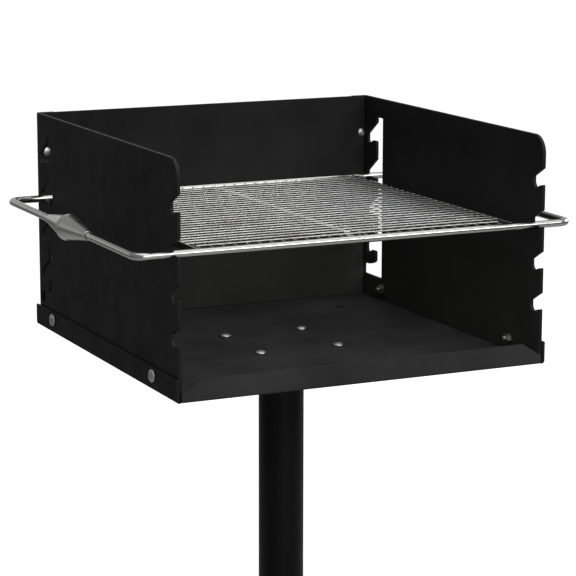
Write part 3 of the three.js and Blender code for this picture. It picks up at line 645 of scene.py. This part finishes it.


# Painted light: the box's inner faces are painted lighter, most at the foot, to lift the shade that
# falls low inside the box.
PAINTED_INNER_LIGHT = (inner_light_share, (0.031, 0.0302, 0.0288))
# Painted shade: the pan's side and rear flanges go back to the box's darker tone.
FLANK_SHADE = (flank_shade_share, (0.0098, 0.0098, 0.01))
# box_paint's second tone is painted light low inside the box.
BOX_PAINT = paint("box_paint", (0.0096, 0.0096, 0.0098), 0.55, 0.05, 0.07, second=PAINTED_INNER_LIGHT)
# pan_paint is a lighter copy of the box's paint: painted light on the pan's front-facing lip.
PAN_PAINT = paint("pan_paint", (0.021, 0.021, 0.0212), 0.6, 0.05, 0.06, second=FLANK_SHADE)
# Each edge's third colour is painted light on the faces that point up.
BOX_EDGE = worn_and_top_lit_edge("box_edge", (0.011, 0.011, 0.011), (0.021, 0.021, 0.0207), 0.5, 0.08, 0.3)
PAN_EDGE = worn_and_top_lit_edge("pan_edge", (0.011, 0.011, 0.011), (0.017, 0.017, 0.0168), 0.55, 0.1, 0.15)
POST_PAINT = paint("post_paint", (0.0022, 0.0022, 0.0023), 0.42, 0.08, 0.1)
FOOT_PAINT = paint("foot_paint", (0.0065, 0.0065, 0.0066), 0.5, 0.08, 0.16)
POST_EDGE = worn_and_top_lit_edge("post_edge", (0.008, 0.008, 0.008), (0.022, 0.022, 0.021), 0.4, 0.35)
WELD = weld_metal("post_weld", (0.009, 0.009, 0.009), 0.45, 0.45)
ZINC = plating("zinc", (0.4, 0.4, 0.393), (0.28, 0.28, 0.273), 0.36, 0.4, 2.0)
ROD_PLATING = plating("rod_plating", (0.37, 0.37, 0.364), (0.34, 0.34, 0.334), 0.19, 0.08)
WIRE_PLATING = plating("wire_plating", (0.36, 0.36, 0.354), (0.28, 0.28, 0.275), 0.33, 0.3)
GRIP_PLATING = plating(
    "grip_plating", (0.44, 0.44, 0.433), (0.4, 0.4, 0.393), 0.3, 0.04, brushed=(1.0, 0.02, 1.0))

# Finishes: a piece's materials, the second one for its edges, and its slot
BOX, PAN = ([BOX_PAINT, BOX_EDGE], "box_paint"), ([PAN_PAINT, PAN_EDGE], "box_paint")
PIPE, FOOT = ([POST_PAINT], "post_paint"), ([FOOT_PAINT, POST_EDGE], "post_paint")
WELD_NUT, BEAD = ([FOOT_PAINT], "post_paint"), ([WELD], "post_paint")
BOLT, GRIP = ([ZINC], "zinc"), ([GRIP_PLATING], "grip_plating")
RODS, WIRES = ([ROD_PLATING], "rod_plating"), ([WIRE_PLATING], "rod_plating")
CENTRE_BAR = ([ROD_PLATING, ROD_PLATING], "rod_plating")
SIDE_BARS = ([WIRE_PLATING, ROD_PLATING], "rod_plating")


# Side plates

def notch_line(seat):
    """The front edge's line round one notch, from under its lip up to its mouth."""
    lip_y, lip_z = PLATE_FRONT + NOTCH_LIP_INSET, seat + NOTCH_LIP_HEIGHT
    back_y, back_z = NOTCH_SEAT + NOTCH_RADIUS, seat + NOTCH_BACK_HEIGHT
    across = lip_y - NOTCH_SEAT
    start = degrees(atan2(-sqrt(NOTCH_RADIUS ** 2 - across ** 2), across))
    mouth, top_y = seat + NOTCH_MOUTH_HEIGHT, back_y - NOTCH_BACK_ROUND
    top_z = mouth - (top_y - PLATE_FRONT) * NOTCH_SLOPE
    line = [(PLATE_FRONT, lip_z - NOTCH_LIP_ROUND)]
    line += bezier([line[0], (PLATE_FRONT, lip_z), (PLATE_FRONT + NOTCH_LIP_ROUND, lip_z)], 5)
    line += arc((NOTCH_SEAT, seat + NOTCH_RADIUS), NOTCH_RADIUS, start, 0, 16)
    line += [(back_y, back_z)]
    line += bezier([line[-1], (back_y, top_z - NOTCH_BACK_ROUND * NOTCH_SLOPE), (top_y, top_z)], 6)
    return line + [(PLATE_FRONT, mouth)]


def slot_line():
    """The rear slot: up its front side, down past the hooked pockets, and back along its foot."""
    line = [(CHANNEL_FRONT, CHANNEL_BOTTOM)]
    line += [(y, CHANNEL_TOP) for y in (CHANNEL_FRONT, CHANNEL_REAR)]
    ramp_start, ramp = radians(270 - RAMP_ANGLE), tan(radians(RAMP_ANGLE))
    back_y = POCKET_SEAT + POCKET_RADIUS
    ramp_y = POCKET_SEAT + POCKET_RADIUS * cos(ramp_start)
    for seat in reversed(SEATS):
        centre_z, back_z = seat + POCKET_RADIUS, seat + POCKET_BACK_HEIGHT
        ledge_z = seat + LEDGE_HEIGHT
        ramp_z = centre_z + POCKET_RADIUS * sin(ramp_start)
        ledge_y = ramp_y - (ledge_z - ramp_z) / ramp
        line += [(CHANNEL_REAR, back_z + (back_y - CHANNEL_REAR) * POCKET_SLOPE), (back_y, back_z)]
        line += arc((POCKET_SEAT, centre_z), POCKET_RADIUS, 0, -90 - RAMP_ANGLE, 12)
        line += [(ledge_y, ledge_z), (ledge_y - LEDGE_LENGTH, ledge_z)]
        below = (CHANNEL_REAR, ledge_z - LEDGE_ROUND)
        line += bezier([line[-1], (CHANNEL_REAR, ledge_z), below], 5)
    foot_y, foot_top = PLATE_REAR - SLOT_FOOT_INSET, CHANNEL_BOTTOM + SLOT_FOOT_HEIGHT
    start = (CHANNEL_REAR, SEATS[0] - LOWEST_TOOTH_DROP)
    ahead = (CHANNEL_REAR + LEDGE_ROUND, foot_top + SLOT_FOOT_BELLY)
    behind = (CHANNEL_REAR + CHANNEL_WIDTH, foot_top - SLOT_FOOT_BELLY)
    line += [start] + bezier([start, ahead, behind, (foot_y, foot_top)], 14)
    return line + [(foot_y, CHANNEL_BOTTOM)]


def side_plate(side, word):
    """A side plate, cut flat with its notches and slot, then bent inward at the rear."""
    bend_y, bend_x = PLATE_REAR - PLATE_BEND, PLATE_OUTER - PLATE_BEND
    middle = PLATE_BEND - PLATE / 2
    bend_length = middle * pi / 2
    end = bend_y + bend_length + PLATE_FLANGE - PLATE_BEND
    corner = (PLATE_FRONT + TOP_CORNER, BOX_HEIGHT - TOP_CORNER)
    outer = [(end, PLATE_BOTTOM), (end, BOX_HEIGHT)] + arc(corner, TOP_CORNER, 90, 180, 20)
    for seat in reversed(SEATS):
        outer += notch_line(seat)[::-1]
    outer = rounded(outer + [(PLATE_FRONT, PLATE_BOTTOM)], 0.9)
    flange_hole = bend_y + bend_length + bend_x - BACK_BOLT_X
    holes = [rounded(slot_line(), 0.9)]
    holes += [circle((y, SIDE_BOLT_Z), SIDE_BOLT["radius"] + SEAM) for y in SIDE_BOLT_YS]
    holes += [circle((flange_hole, z), BACK_BOLT["radius"] + SEAM) for z in BACK_BOLT_ZS]
    bm = plate_mesh([outer, *holes], PLATE, 0.55)
    cut_lines(bm, 0, [bend_y + bend_length * k / 10 for k in range(11)])

    def bent(co):
        u, z, t = co
        if u <= bend_y:
            x, y = bend_x + middle + t, u
        elif u <= bend_y + bend_length:
            turn = (u - bend_y) / middle
            x, y = bend_x + (middle + t) * cos(turn), bend_y + (middle + t) * sin(turn)
        else:
            x, y = bend_x - (u - bend_y - bend_length), bend_y + middle + t
        return Vector((side * x, y, HEAD + z))

    bm = faced_out(moved(bm, bent))
    show("side_plate_" + word, "_skin", bm, "head", BOX)


def back_plate():
    """The back plate, flat, with a square hole for each bolt's neck."""
    half, neck = PLATE_OUTER - PLATE_BEND, BACK_BOLT["neck"] + SEAM
    outer = [(-half, PLATE_BOTTOM), (half, PLATE_BOTTOM), (half, BOX_HEIGHT), (-half, BOX_HEIGHT)]
    holes = [square((side * BACK_BOLT_X, z), neck) for side in (-1, 1) for z in BACK_BOLT_ZS]
    bm = plate_mesh([rounded(outer, 1.2), *holes], BACK_PLATE, 0.45)
    middle = BACK_FRONT + BACK_PLATE / 2
    bm = faced_out(moved(bm, lambda co: Vector((co.x, middle - co.z, HEAD + co.y))))
    show("back_plate", "_skin", bm, "head", BOX)


# Fire pan

def fire_pan():
    """The pan: one flat blank with relief cuts at the corners, folded up on four sides."""
    mid = PAN_BEND - PAN_SHEET / 2
    bend_length = mid * pi / 2
    fold_x, fold_y = HALF_WIDTH - PAN_BEND, HALF_DEPTH - PAN_BEND
    clip_start, clip_knee, knee_height = HALF_WIDTH - 33.0, HALF_WIDTH - 13.4, 15.8
    lip_end, lip_end_height, strip = HALF_WIDTH - 6.0, 12.0, HALF_WIDTH - 4.6
    side_end, relief = HALF_DEPTH - 1.0, fold_y - 3.0
    drain_x, drain_y, drain_radius = HALF_WIDTH - 85.0, HALF_DEPTH - 85.0, 6.5

    def flat(fold, height):
        """Where a height on a flange lies on the blank."""
        return fold + bend_length + height - PAN_BEND

    quarter = [
        (clip_start, flat(fold_y, PAN_FLANGE)), (clip_knee, flat(fold_y, knee_height)),
        (lip_end, flat(fold_y, lip_end_height)), (lip_end, relief), (strip, relief),
        (strip, side_end), (flat(fold_x, PAN_FLANGE), side_end),
    ]
    plain = [(lip_end, flat(fold_y, PAN_FLANGE))] + quarter[3:]
    outer = [(x, -y) for x, y in quarter] + [(x, y) for x, y in reversed(plain)]
    outer += [(-x, y) for x, y in plain] + [(-x, -y) for x, y in reversed(quarter)]
    neck = SIDE_BOLT["neck"] + SEAM
    holes = [square(p, neck) for p in four(FLOOR_BOLT, FLOOR_BOLT)]
    holes += [circle(p, drain_radius) for p in four(drain_x, drain_y)]
    reach = flat(fold_x, SIDE_BOLT_Z)
    holes += [square((x, y), neck) for x in (-reach, reach) for y in SIDE_BOLT_YS]
    bm = plate_mesh([rounded(outer, 0.8), *holes], PAN_SHEET, 0.45)
    for axis, fold in ((0, fold_x), (1, fold_y)):
        steps = [fold + bend_length * k / 8 for k in range(9)]
        cut_lines(bm, axis, steps + [-s for s in steps])

    def fold_up(distance, fold, t):
        """Where a point of the blank goes, as (reach from the middle, height)."""
        past = abs(distance) - fold
        if past <= 0:
            return distance, PAN_SHEET / 2 + t
        sign = copysign(1.0, distance)
        if past <= bend_length:
            turn = past / mid
            return sign * (fold + (mid - t) * sin(turn)), PAN_BEND - (mid - t) * cos(turn)
        return sign * (fold + mid - t), PAN_BEND + past - bend_length

    def folded(co):
        x, y, t = co
        if abs(x) > fold_x:
            x, z = fold_up(x, fold_x, t)
        elif abs(x) <= lip_end + 0.5:
            y, z = fold_up(y, fold_y, t)
        else:
            z = PAN_SHEET / 2 + t
        return Vector((x, y, HEAD + z))

    bm = faced_out(moved(bm, folded))
    show("fire_pan", "_skin", bm, "head", PAN)


# Fasteners

def turned(position, outward):
    """The placement that takes +Z to a direction, at a point."""
    turn = UP.rotation_difference(Vector(outward))
    return Matrix.Translation(position) @ turn.to_matrix().to_4x4()


def carriage_bolt(bolt, nut, sheets):
    """A carriage bolt in one mesh: dome, square neck, threaded shank."""
    dome, rise, rim, foot = bolt["dome"], bolt["rise"], 0.5, -bolt["neck_length"]
    angles = [radians(6 * k) for k in range(1, 15)]
    profile = [(0, 0.02), (dome - rim, 0.02), (dome - 0.12, 0.12), (dome, rim)]
    profile += [(dome * cos(a), rim + (rise - rim) * sin(a)) for a in angles]
    bm = lathe(bmesh.new(), profile + [(0, rise)], 48)
    ring = square((0, 0), bolt["neck"])
    rows = [[(x, y, z) for x, y in ring] for z in (0.1, foot + 0.4)]
    rows.append([(x * 0.9, y * 0.9, foot) for x, y in ring])
    bm.faces.new(grid(bm, rows)[-1])
    end = -(sheets + nut["height"] + SEAM + bolt["tail"])
    rows = thread_rows(bolt["radius"], foot + 0.1, end + 0.7, BOLT_PITCH, BOLT_THREAD, 28)
    rows.append([(x * 0.84, y * 0.84, end) for x, y, _ in rows[-1]])
    bm.faces.new(grid(bm, rows)[-1])
    return faced_out(bm)


def nut_mesh(nut, bore):
    """A hexagon nut with chamfered corners. Its bore is plain, a thread of no depth."""
    bm = bmesh.new()
    skin = grid(bm, hex_rings(nut, bore + 0.25))
    wall = grid(bm, thread_rows(bore, 0.0, -nut["height"], BOLT_PITCH, 0.0, NUT_SIDES))
    band(bm, skin[0], wall[0])
    band(bm, skin[-1], wall[-1])
    return faced_out(bm)


def fastener(kind, place, bolt, nut, position, outward, sheets, twist):
    """A bolt and its nut at a place, the head outward."""
    put = turned(position, outward)
    bm = placed(carriage_bolt(bolt, nut, sheets), put)
    show(f"{kind}_bolt_{place}", "_shape", bm, "head", BOLT, 34)
    under = Matrix.Translation((0, 0, -(sheets + SEAM))) @ Matrix.Rotation(radians(twist), 4, "Z")
    bm = placed(nut_mesh(nut, bolt["radius"] + SEAM), put @ under)
    show(f"{kind}_nut_{place}", "_shape", bm, "head", BOLT, 24)


def fasteners():
    """The bolts and nuts through the pan's sides, the back plate and the pan's floor."""
    sheets, depth = HALF_WIDTH + SEAM - PLATE_INNER, PLATE_REAR + SEAM - BACK_FRONT
    for side, word in SIDES:
        for place, y, twist in (("front_", SIDE_BOLT_YS[0], 11), ("rear_", SIDE_BOLT_YS[1], 38)):
            head = Vector((side * (HALF_WIDTH + SEAM), y, HEAD + SIDE_BOLT_Z))
            fastener("side", place + word, SIDE_BOLT, SIDE_NUT, head, (side, 0, 0), sheets, twist)
        for place, z, twist in (("lower_", BACK_BOLT_ZS[0], 24), ("upper_", BACK_BOLT_ZS[1], 5)):
            head = Vector((side * BACK_BOLT_X, BACK_FRONT - SEAM, HEAD + z))
            fastener("back", place + word, BACK_BOLT, BACK_NUT, head, (0, -1, 0), depth, twist)
    depth = PAN_SHEET + SEAM * 2 + MOUNT_PLATE
    for word, sx, sy in (("front_left", -1, -1), ("front_right", 1, -1), ("rear_right", 1, 1),
                         ("rear_left", -1, 1)):
        head = Vector((sx * FLOOR_BOLT, sy * FLOOR_BOLT, HEAD + PAN_SHEET + SEAM))
        fastener("floor", word, SIDE_BOLT, SIDE_NUT, head, (0, 0, 1), depth, 17 * sx + 9 * sy)


# Pedestal

def rounded_square(width, radius):
    """A square about the middle with an arc at each corner."""
    inner = width / 2 - radius
    loop = []
    for sx, sy, start in ((1, -1, -90), (1, 1, 0), (-1, 1, 90), (-1, -1, 180)):
        loop += arc((sx * inner, sy * inner), radius, start, start + 90, 12)
    return loop


def foot_plate():
    """The plate on the ground, with its four anchor holes."""
    corner = FOOT_WIDTH / 2 - ANCHOR_INSET
    holes = [circle(p, ANCHOR_RADIUS, 56) for p in four(corner, corner)]
    bm = plate_mesh([rounded_square(FOOT_WIDTH, 16.0), *holes], FOOT_PLATE, 0.9)
    moved(bm, lambda co: Vector((co.x, co.y, co.z + FOOT_PLATE / 2)))
    show("foot_plate", "_skin", bm, "pedestal", FOOT)


def swivel_plate():
    """The mounting plate under the pan."""
    holes = [circle(p, SIDE_BOLT["radius"] + SEAM) for p in four(FLOOR_BOLT, FLOOR_BOLT)]
    bm = plate_mesh([rounded_square(MOUNT_WIDTH, 10.0), *holes], MOUNT_PLATE, 0.7)
    moved(bm, lambda co: Vector((co.x, co.y, co.z + HEAD - SEAM - MOUNT_PLATE / 2)))
    show("swivel_plate", "_skin", bm, "head", FOOT)


def gussets():
    """The four gussets round the foot of the post, each with its weld beads."""
    inner, outer = POST_RADIUS + SEAM, FOOT_WIDTH / 2 - GUSSET_INSET
    low, high, tip = FOOT_PLATE + SEAM, FOOT_PLATE + SEAM + GUSSET_HEIGHT, GUSSET_TIP
    loop = [(inner + tip, low), (outer, low), (outer, low + tip)]
    loop += [(inner + tip, high), (inner, high), (inner, low + tip)]
    for index, word in enumerate(("right", "rear", "left", "front")):
        bm = plate_mesh([rounded(loop, 1.2)], GUSSET, 0.5)
        turn = Matrix.Rotation(index * pi / 2, 3, "Z")
        bm = faced_out(moved(bm, lambda co: turn @ Vector((co.x, -co.z, co.y))))
        show("gusset_" + word, "_skin", bm, "pedestal", FOOT)
        bm = bmesh.new()
        for side in (-1, 1):
            y = side * (GUSSET / 2 + 0.5)
            upright = [(POST_RADIUS + 0.4, y, low + tip + 2), (POST_RADIUS + 0.4, y, high - 3)]
            level = [(inner + tip + 2, y, FOOT_PLATE + 0.4), (outer - 3, y, FOOT_PLATE + 0.4)]
            for line, seed in ((upright, 1), (level, 2)):
                bead(bm, line, 2.0, index * 10 + seed + (side > 0) * 5)
        moved(bm, lambda co: turn @ co)
        show("gusset_weld_" + word, "", bm, "pedestal", BEAD, 60)


def post():
    """The pipe with rounded ends, the hole for the locking bolt, and its weld at the foot."""
    inner, low, soft = POST_RADIUS - POST_WALL, FOOT_PLATE + SEAM, 0.5
    corners = ((inner, low, 1, 1), (POST_RADIUS, low, -1, 1), (POST_RADIUS, POST_TOP, -1, -1),
               (inner, POST_TOP, 1, -1))
    ring = []
    for i, (radius, z, sr, sz) in enumerate(corners):
        pair = [(radius, z + sz * soft), (radius + sr * soft, z)]
        ring += pair if i % 2 == 0 else pair[::-1]
    bm = faced_out(lathe(bmesh.new(), ring, 144, closed=True))
    piece = show("post", "_pipe", bm, "pedestal", PIPE, 35)
    bore, reach = LOCK_RADIUS + SEAM, POST_RADIUS + 6
    cutter = lathe(bmesh.new(), [(0, 0), (bore, 0), (bore, reach), (0, reach)], 40)
    cut_by(piece, placed(cutter, turned((0, 0, LOCK_Z), (0, 1, 0))))
    bm = bmesh.new()
    around = POST_RADIUS + 0.8
    for quarter in range(4):
        angles = [radians(quarter * 90 + 9 + 72 * k / 40) for k in range(41)]
        line = [(around * cos(a), around * sin(a), low + 0.6) for a in angles]
        bead(bm, line, 2.9, 90 + quarter)
    show("post_foot_weld", "", bm, "pedestal", BEAD, 60)


def swivel_stub():
    """The smaller pipe under the mounting plate, with a groove for the locking bolt's tip."""
    outer, inner, groove = STUB_RADIUS, STUB_RADIUS - STUB_WALL, STUB_RADIUS - GROOVE_DEPTH
    bottom, floor_half = POST_TOP - STUB_LENGTH, GROOVE_HALF - 0.35
    profile = [
        (inner, bottom + 0.6), (inner + 0.6, bottom), (outer - 1.2, bottom), (outer, bottom + 1.2),
        (outer, LOCK_Z - GROOVE_HALF), (groove, LOCK_Z - floor_half), (groove, LOCK_Z + floor_half),
        (outer, LOCK_Z + GROOVE_HALF), (outer, POST_TOP), (inner, POST_TOP),
    ]
    bm = faced_out(lathe(bmesh.new(), profile, 112, closed=True))
    show("swivel_stub", "_shape", bm, "head", PIPE, 30)


def lock():
    """The weld nut with its bead, and the locking bolt."""
    nut_y, toward = POST_RADIUS + LOCK_NUT["height"], (0, 1, 0)
    deep = {**LOCK_NUT, "height": LOCK_NUT["height"] * 2}
    bm = placed(nut_mesh(deep, LOCK_RADIUS + SEAM), turned((0, nut_y, LOCK_Z), toward))
    nut = show("lock_weld_nut", "_shape", bm, "pedestal", WELD_NUT, 24)
    reach, low, high = POST_RADIUS + SEAM, LOCK_Z - 20, LOCK_Z + 20
    cut_by(nut, lathe(bmesh.new(), [(0, low), (reach, low), (reach, high), (0, high)], 160))
    line, around = [], 10.6
    for k in range(49):
        a = 2 * pi * k / 48
        x, z = around * cos(a), around * sin(a)
        line.append((x, sqrt((POST_RADIUS + 0.5) ** 2 - x * x), LOCK_Z + z))
    bm = bead(bmesh.new(), line, 1.7, 77)
    show("lock_nut_weld", "", bm, "pedestal", BEAD, 60)
    head_y = nut_y + LOCK_STAND_OFF
    length = head_y - (STUB_RADIUS - GROOVE_DEPTH + SEAM + 0.4)
    bm = bmesh.new()
    rings, height = hex_rings(LOCK_HEAD, 0.001, chamfered_below=False), LOCK_HEAD["height"]
    made = grid(bm, [[(x, y, z + height) for x, y, z in ring] for ring in rings])
    bm.faces.new(made[0])
    bm.faces.new(made[-1])
    rows = thread_rows(LOCK_RADIUS, 0.3, -length + 1.2, LOCK_PITCH, LOCK_THREAD, 32)
    rows.append([(x * 0.8, y * 0.8, -length) for x, y, _ in rows[-1]])
    bm.faces.new(grid(bm, rows)[-1])
    bmesh.ops.remove_doubles(bm, verts=bm.verts, dist=0.005)
    bm = placed(faced_out(bm), turned((0, head_y, LOCK_Z), toward))
    show("lock_bolt", "_shape", bm, "pedestal", BOLT, 26)


# Grate

def grate_frame():
    """The bent rod, with the butt weld at the middle of its rear run."""
    front, rear, right = NOTCH_SEAT, POCKET_SEAT, SIDE_ROD - ROD_BEND
    corners = (((right, rear - ROD_BEND), 90), ((right, front + ROD_BEND), 0),
               ((-right, front + ROD_BEND), -90), ((-right, rear - ROD_BEND), -180))
    line = [(0.0, rear)]
    for centre, start in corners:
        line += arc(centre, ROD_BEND, start, start - 90, 14)
    bm = tube(bmesh.new(), [(x, y, GRATE_Z) for x, y in line], ROD, 28, closed=True)
    half = ((2.2, -0.1), (1.8, 0.25), (1.0, 0.45), (0, 0.5))
    rises = [(-x, rise) for x, rise in half] + list(half[2::-1])
    collar = lathe(bmesh.new(), [(ROD + rise, x) for x, rise in rises], 28)
    collar = placed(collar, turned((0, rear, GRATE_Z), (1, 0, 0)))
    bm = faced_out(joined(bm, collar))
    show("grate_frame", "_rod", bm, "grate", RODS, 50)


def places(start, end, step):
    """Even steps from a start, none of them past the end."""
    return [start + step * k for k in range(int((end - start) / step) + 1)]


def wire(bm, start, end, seed, sway=0.1, count=26):
    """A wire with the slight waviness of welded mesh."""
    rng = random.Random(seed)
    a, b = Vector(start), Vector(end)
    across = UP.cross(b - a).normalized()
    phase, length = rng.uniform(0, 6.28), rng.uniform(0.8, 1.6)
    line = []
    for k in range(count + 1):
        t = k / count
        fade = min(1.0, t * 6, (1 - t) * 6)
        shift = across * sin(phase + t * 6.28 * length) * sway
        drop = UP * sin(phase * 2 + t * 9 * length) * sway * 0.35
        line.append(a.lerp(b, t) + (shift + drop) * fade)
    tube(bm, line, WIRE, 12)


def mesh_of_wires():
    """The grate's wires with their welds, its centre bar and its two side bars."""
    front, rear = NOTCH_SEAT + ROD + SEAM, POCKET_SEAT - ROD - SEAM
    top = GRATE_Z + MESH_TOP
    upper = top - WIRE
    lower = upper - WIRE * 2 + 0.1
    inner_bar = SIDE_BAR_X - SIDE_BAR / 2
    xs = places(PITCH, inner_bar - PITCH / 2, PITCH)
    ys = places(NOTCH_SEAT + ROD + CROSS_START, rear - PITCH / 2, PITCH)
    bm = bmesh.new()
    for i, x in enumerate([-x for x in reversed(xs)] + xs):
        wire(bm, (x, front - 0.4, lower), (x, rear + 0.4, lower), 100 + i)
        for y in (front + 0.2, rear - 0.2):
            blob(bm, (x, y, lower), (1.9, 1.3, 1.5))
    last, tie = xs[-1] + WIRE + SEAM, upper - 0.5
    for i, y in enumerate((ys[0], ys[-1])):
        wire(bm, (-last, y, tie), (last, y, tie), 300 + i)
    show("grate_long_wires", "_mesh", bm, "grate", WIRES, 60)
    bm = bmesh.new()
    for i, y in enumerate(ys[1:-1]):
        wire(bm, (-inner_bar + 0.1, y, upper), (inner_bar - 0.1, y, upper), 200 + i)
        for side in (-1, 1):
            blob(bm, (side * (inner_bar - 0.4), y, upper), (1.0, 1.8, 1.5))
    show("grate_cross_wires", "_mesh", bm, "grate", WIRES, 60)
    flat, thick, raised = 4.5, 4.4, 4.0
    start, end = ys[1] - 5, ys[-2] + 5
    bar = rounded([(-flat, front), (flat, front), (flat, rear), (-flat, rear)], 0.8)
    bm = moved(plate_mesh([bar], thick, 0.4), lambda co: co + UP * (GRATE_Z - ROD + thick / 2))
    strip = rounded([(-flat, start), (flat, start), (flat, end), (-flat, end)], 0.8)
    strip = moved(plate_mesh([strip], raised, 0.5), lambda co: co + UP * (upper - raised / 2))
    bm = joined(bm, strip)
    show("grate_centre_bar", "", bm, "grate", CENTRE_BAR)
    low = top - SIDE_BAR_HEIGHT
    bar = rounded([(front, low), (rear, low), (rear, top), (front, top)], 0.8)
    for side, word in SIDES:
        bm = plate_mesh([bar], SIDE_BAR, 0.45)
        bm = faced_out(moved(bm, lambda co: Vector((side * SIDE_BAR_X - co.z, co.x, co.y))))
        show("grate_side_bar_" + word, "_flat", bm, "grate", SIDE_BARS)


def grips():
    """Each grip: two spun cones with a rolled seam between them, and a short collar at each end."""
    half, bore, collar, soft = GRIP_LENGTH / 2, ROD + SEAM, 4.0, 0.4
    shoulder, edge = (GRIP_END + 0.2, -half + collar + 0.5), (GRIP_RADIUS - 1.4, -3.4)
    cone = [
        (bore, -half + soft), (bore + soft, -half), (GRIP_END - soft, -half),
        (GRIP_END, -half + soft), (GRIP_END, -half + collar - soft), shoulder,
    ]
    cone += [tuple(a + (b - a) * (k / 12) for a, b in zip(shoulder, edge)) for k in range(1, 13)]
    cone += [(GRIP_RADIUS - 0.75, -1.9), (GRIP_RADIUS - 0.25, -0.9), (GRIP_RADIUS, 0.0)]
    profile = cone + [(r, -z) for r, z in reversed(cone[:-1])]
    centre = (NOTCH_SEAT + POCKET_SEAT) / 2
    for side, word in SIDES:
        bm = faced_out(lathe(bmesh.new(), profile, 96, closed=True))
        bm = placed(bm, turned((side * SIDE_ROD, centre, GRATE_Z), (0, 1, 0)))
        show("grip_" + word, "_cones", bm, word + "_grip", GRIP, 28)


# Stage, light and camera

def stage():
    """A pale floor that shows white to the camera and keeps the object's shadow."""
    bm = bmesh.new()
    bmesh.ops.create_grid(bm, x_segments=2, y_segments=2, size=60.0)
    floor = in_scene("floor", data_of("floor", bm))
    floor.location.z = -0.0005
    made, tree, where = material("floor")
    dressed(made, (0.42, 0.42, 0.42, 1.0), 0.9, specular=0.1)
    seen = add(tree, "LightPath", out="Is Camera Ray")
    away = add(tree, "VectorMath", out="Value", settings={"operation": "LENGTH"}, Vector=where)
    lifted = product(tree, seen, spread(tree, away, 0.5, 3.0, 0.5, 0.93))
    lift = add(tree, "Emission", Color=(1, 1, 1, 1), Strength=lifted)
    both = add(tree, "AddShader", i0=tree.nodes["Principled BSDF"].outputs[0], i1=lift)
    out = next(n for n in tree.nodes if n.type == "OUTPUT_MATERIAL")
    link(tree, out, "Surface", both)
    floor.data.materials.append(made)


def world():
    """Soft light from all round, white to the camera. In reflections it is lighter low behind."""
    made = bpy.data.worlds.new("studio")
    bpy.context.scene.world = made
    made.use_nodes = True
    tree = made.node_tree
    path = tree.nodes.new("ShaderNodeLightPath")
    _, y, z = parts(tree, add(tree, "TexCoord", out="Generated"))
    wall = product(tree, spread(tree, y, 0.6, 0.9), spread(tree, z, 0.42, 0.24))
    mirrored = spread(tree, wall, 0.0, 1.0, 0.38, 0.75)
    shine = spread(tree, path.outputs["Is Glossy Ray"], 0.0, 1.0, 0.22, mirrored)
    background = tree.nodes["Background"]
    link(tree, background, "Color", (1, 1, 1, 1))
    link(tree, background, "Strength", calc(tree, "MAXIMUM", path.outputs["Is Camera Ray"], shine))


def lamp(name, position, target, size, power, mirrored=True):
    """A rectangular lamp aimed at a target, in metres and watts. Reflections may leave it out."""
    data = bpy.data.lights.new(name, "AREA")
    data.shape = "RECTANGLE"
    data.size, data.size_y = size
    data.energy = power
    light = in_scene(name, data)
    light.visible_glossy = mirrored
    light.location = position
    light.rotation_mode = "QUATERNION"
    light.rotation_quaternion = (Vector(target) - Vector(position)).to_track_quat("-Z", "Y")


def camera():
    """The photo's camera: its place and aim in metres, with the slight roll that the photo has."""
    back = Vector((-0.41919, -0.88659, 0.19556)).normalized()
    aim, distance, roll = Vector((0.0098, 0.0, 0.83555)), 3.0753, radians(0.098)
    level = UP.cross(back).normalized()
    upright = back.cross(level)
    right = level * cos(roll) + upright * sin(roll)
    up = back.cross(right)
    data = bpy.data.cameras.new("camera")
    data.lens, data.sensor_width = 145.464, 36.0
    data.clip_start, data.clip_end = 0.05, 200.0
    seen = in_scene("camera", data)
    turn = Matrix((right, up, back)).transposed().to_4x4()
    seen.matrix_world = Matrix.Translation(aim + back * distance) @ turn
    bpy.context.scene.camera = seen


for side, word in SIDES:
    side_plate(side, word)
back_plate()
fire_pan()
fasteners()
foot_plate()
swivel_plate()
gussets()
post()
swivel_stub()
lock()
grate_frame()
mesh_of_wires()
grips()
stage()
world()
lamp("fill", (-0.4, -3.6, 0.75), (0, 0, 0.85), (2.6, 1.2), 20)
lamp("key", (0.6, -3.0, 2.5), (0.2, 0, 0.95), (3.6, 0.9), 92)
lamp("top", (0.2, -0.4, 3.3), (0.1, 0, 0.9), (3.6, 2.6), 52)
lamp("side", (3.1, 0.4, 1.9), (0, 0, 0.7), (2.2, 1.6), 45)
lamp("back", (0.1, 2.4, 3.2), (0, 0, 0.7), (2.6, 1.2), 45, mirrored=False)
camera()
bpy.context.scene.view_settings.view_transform = "Standard"
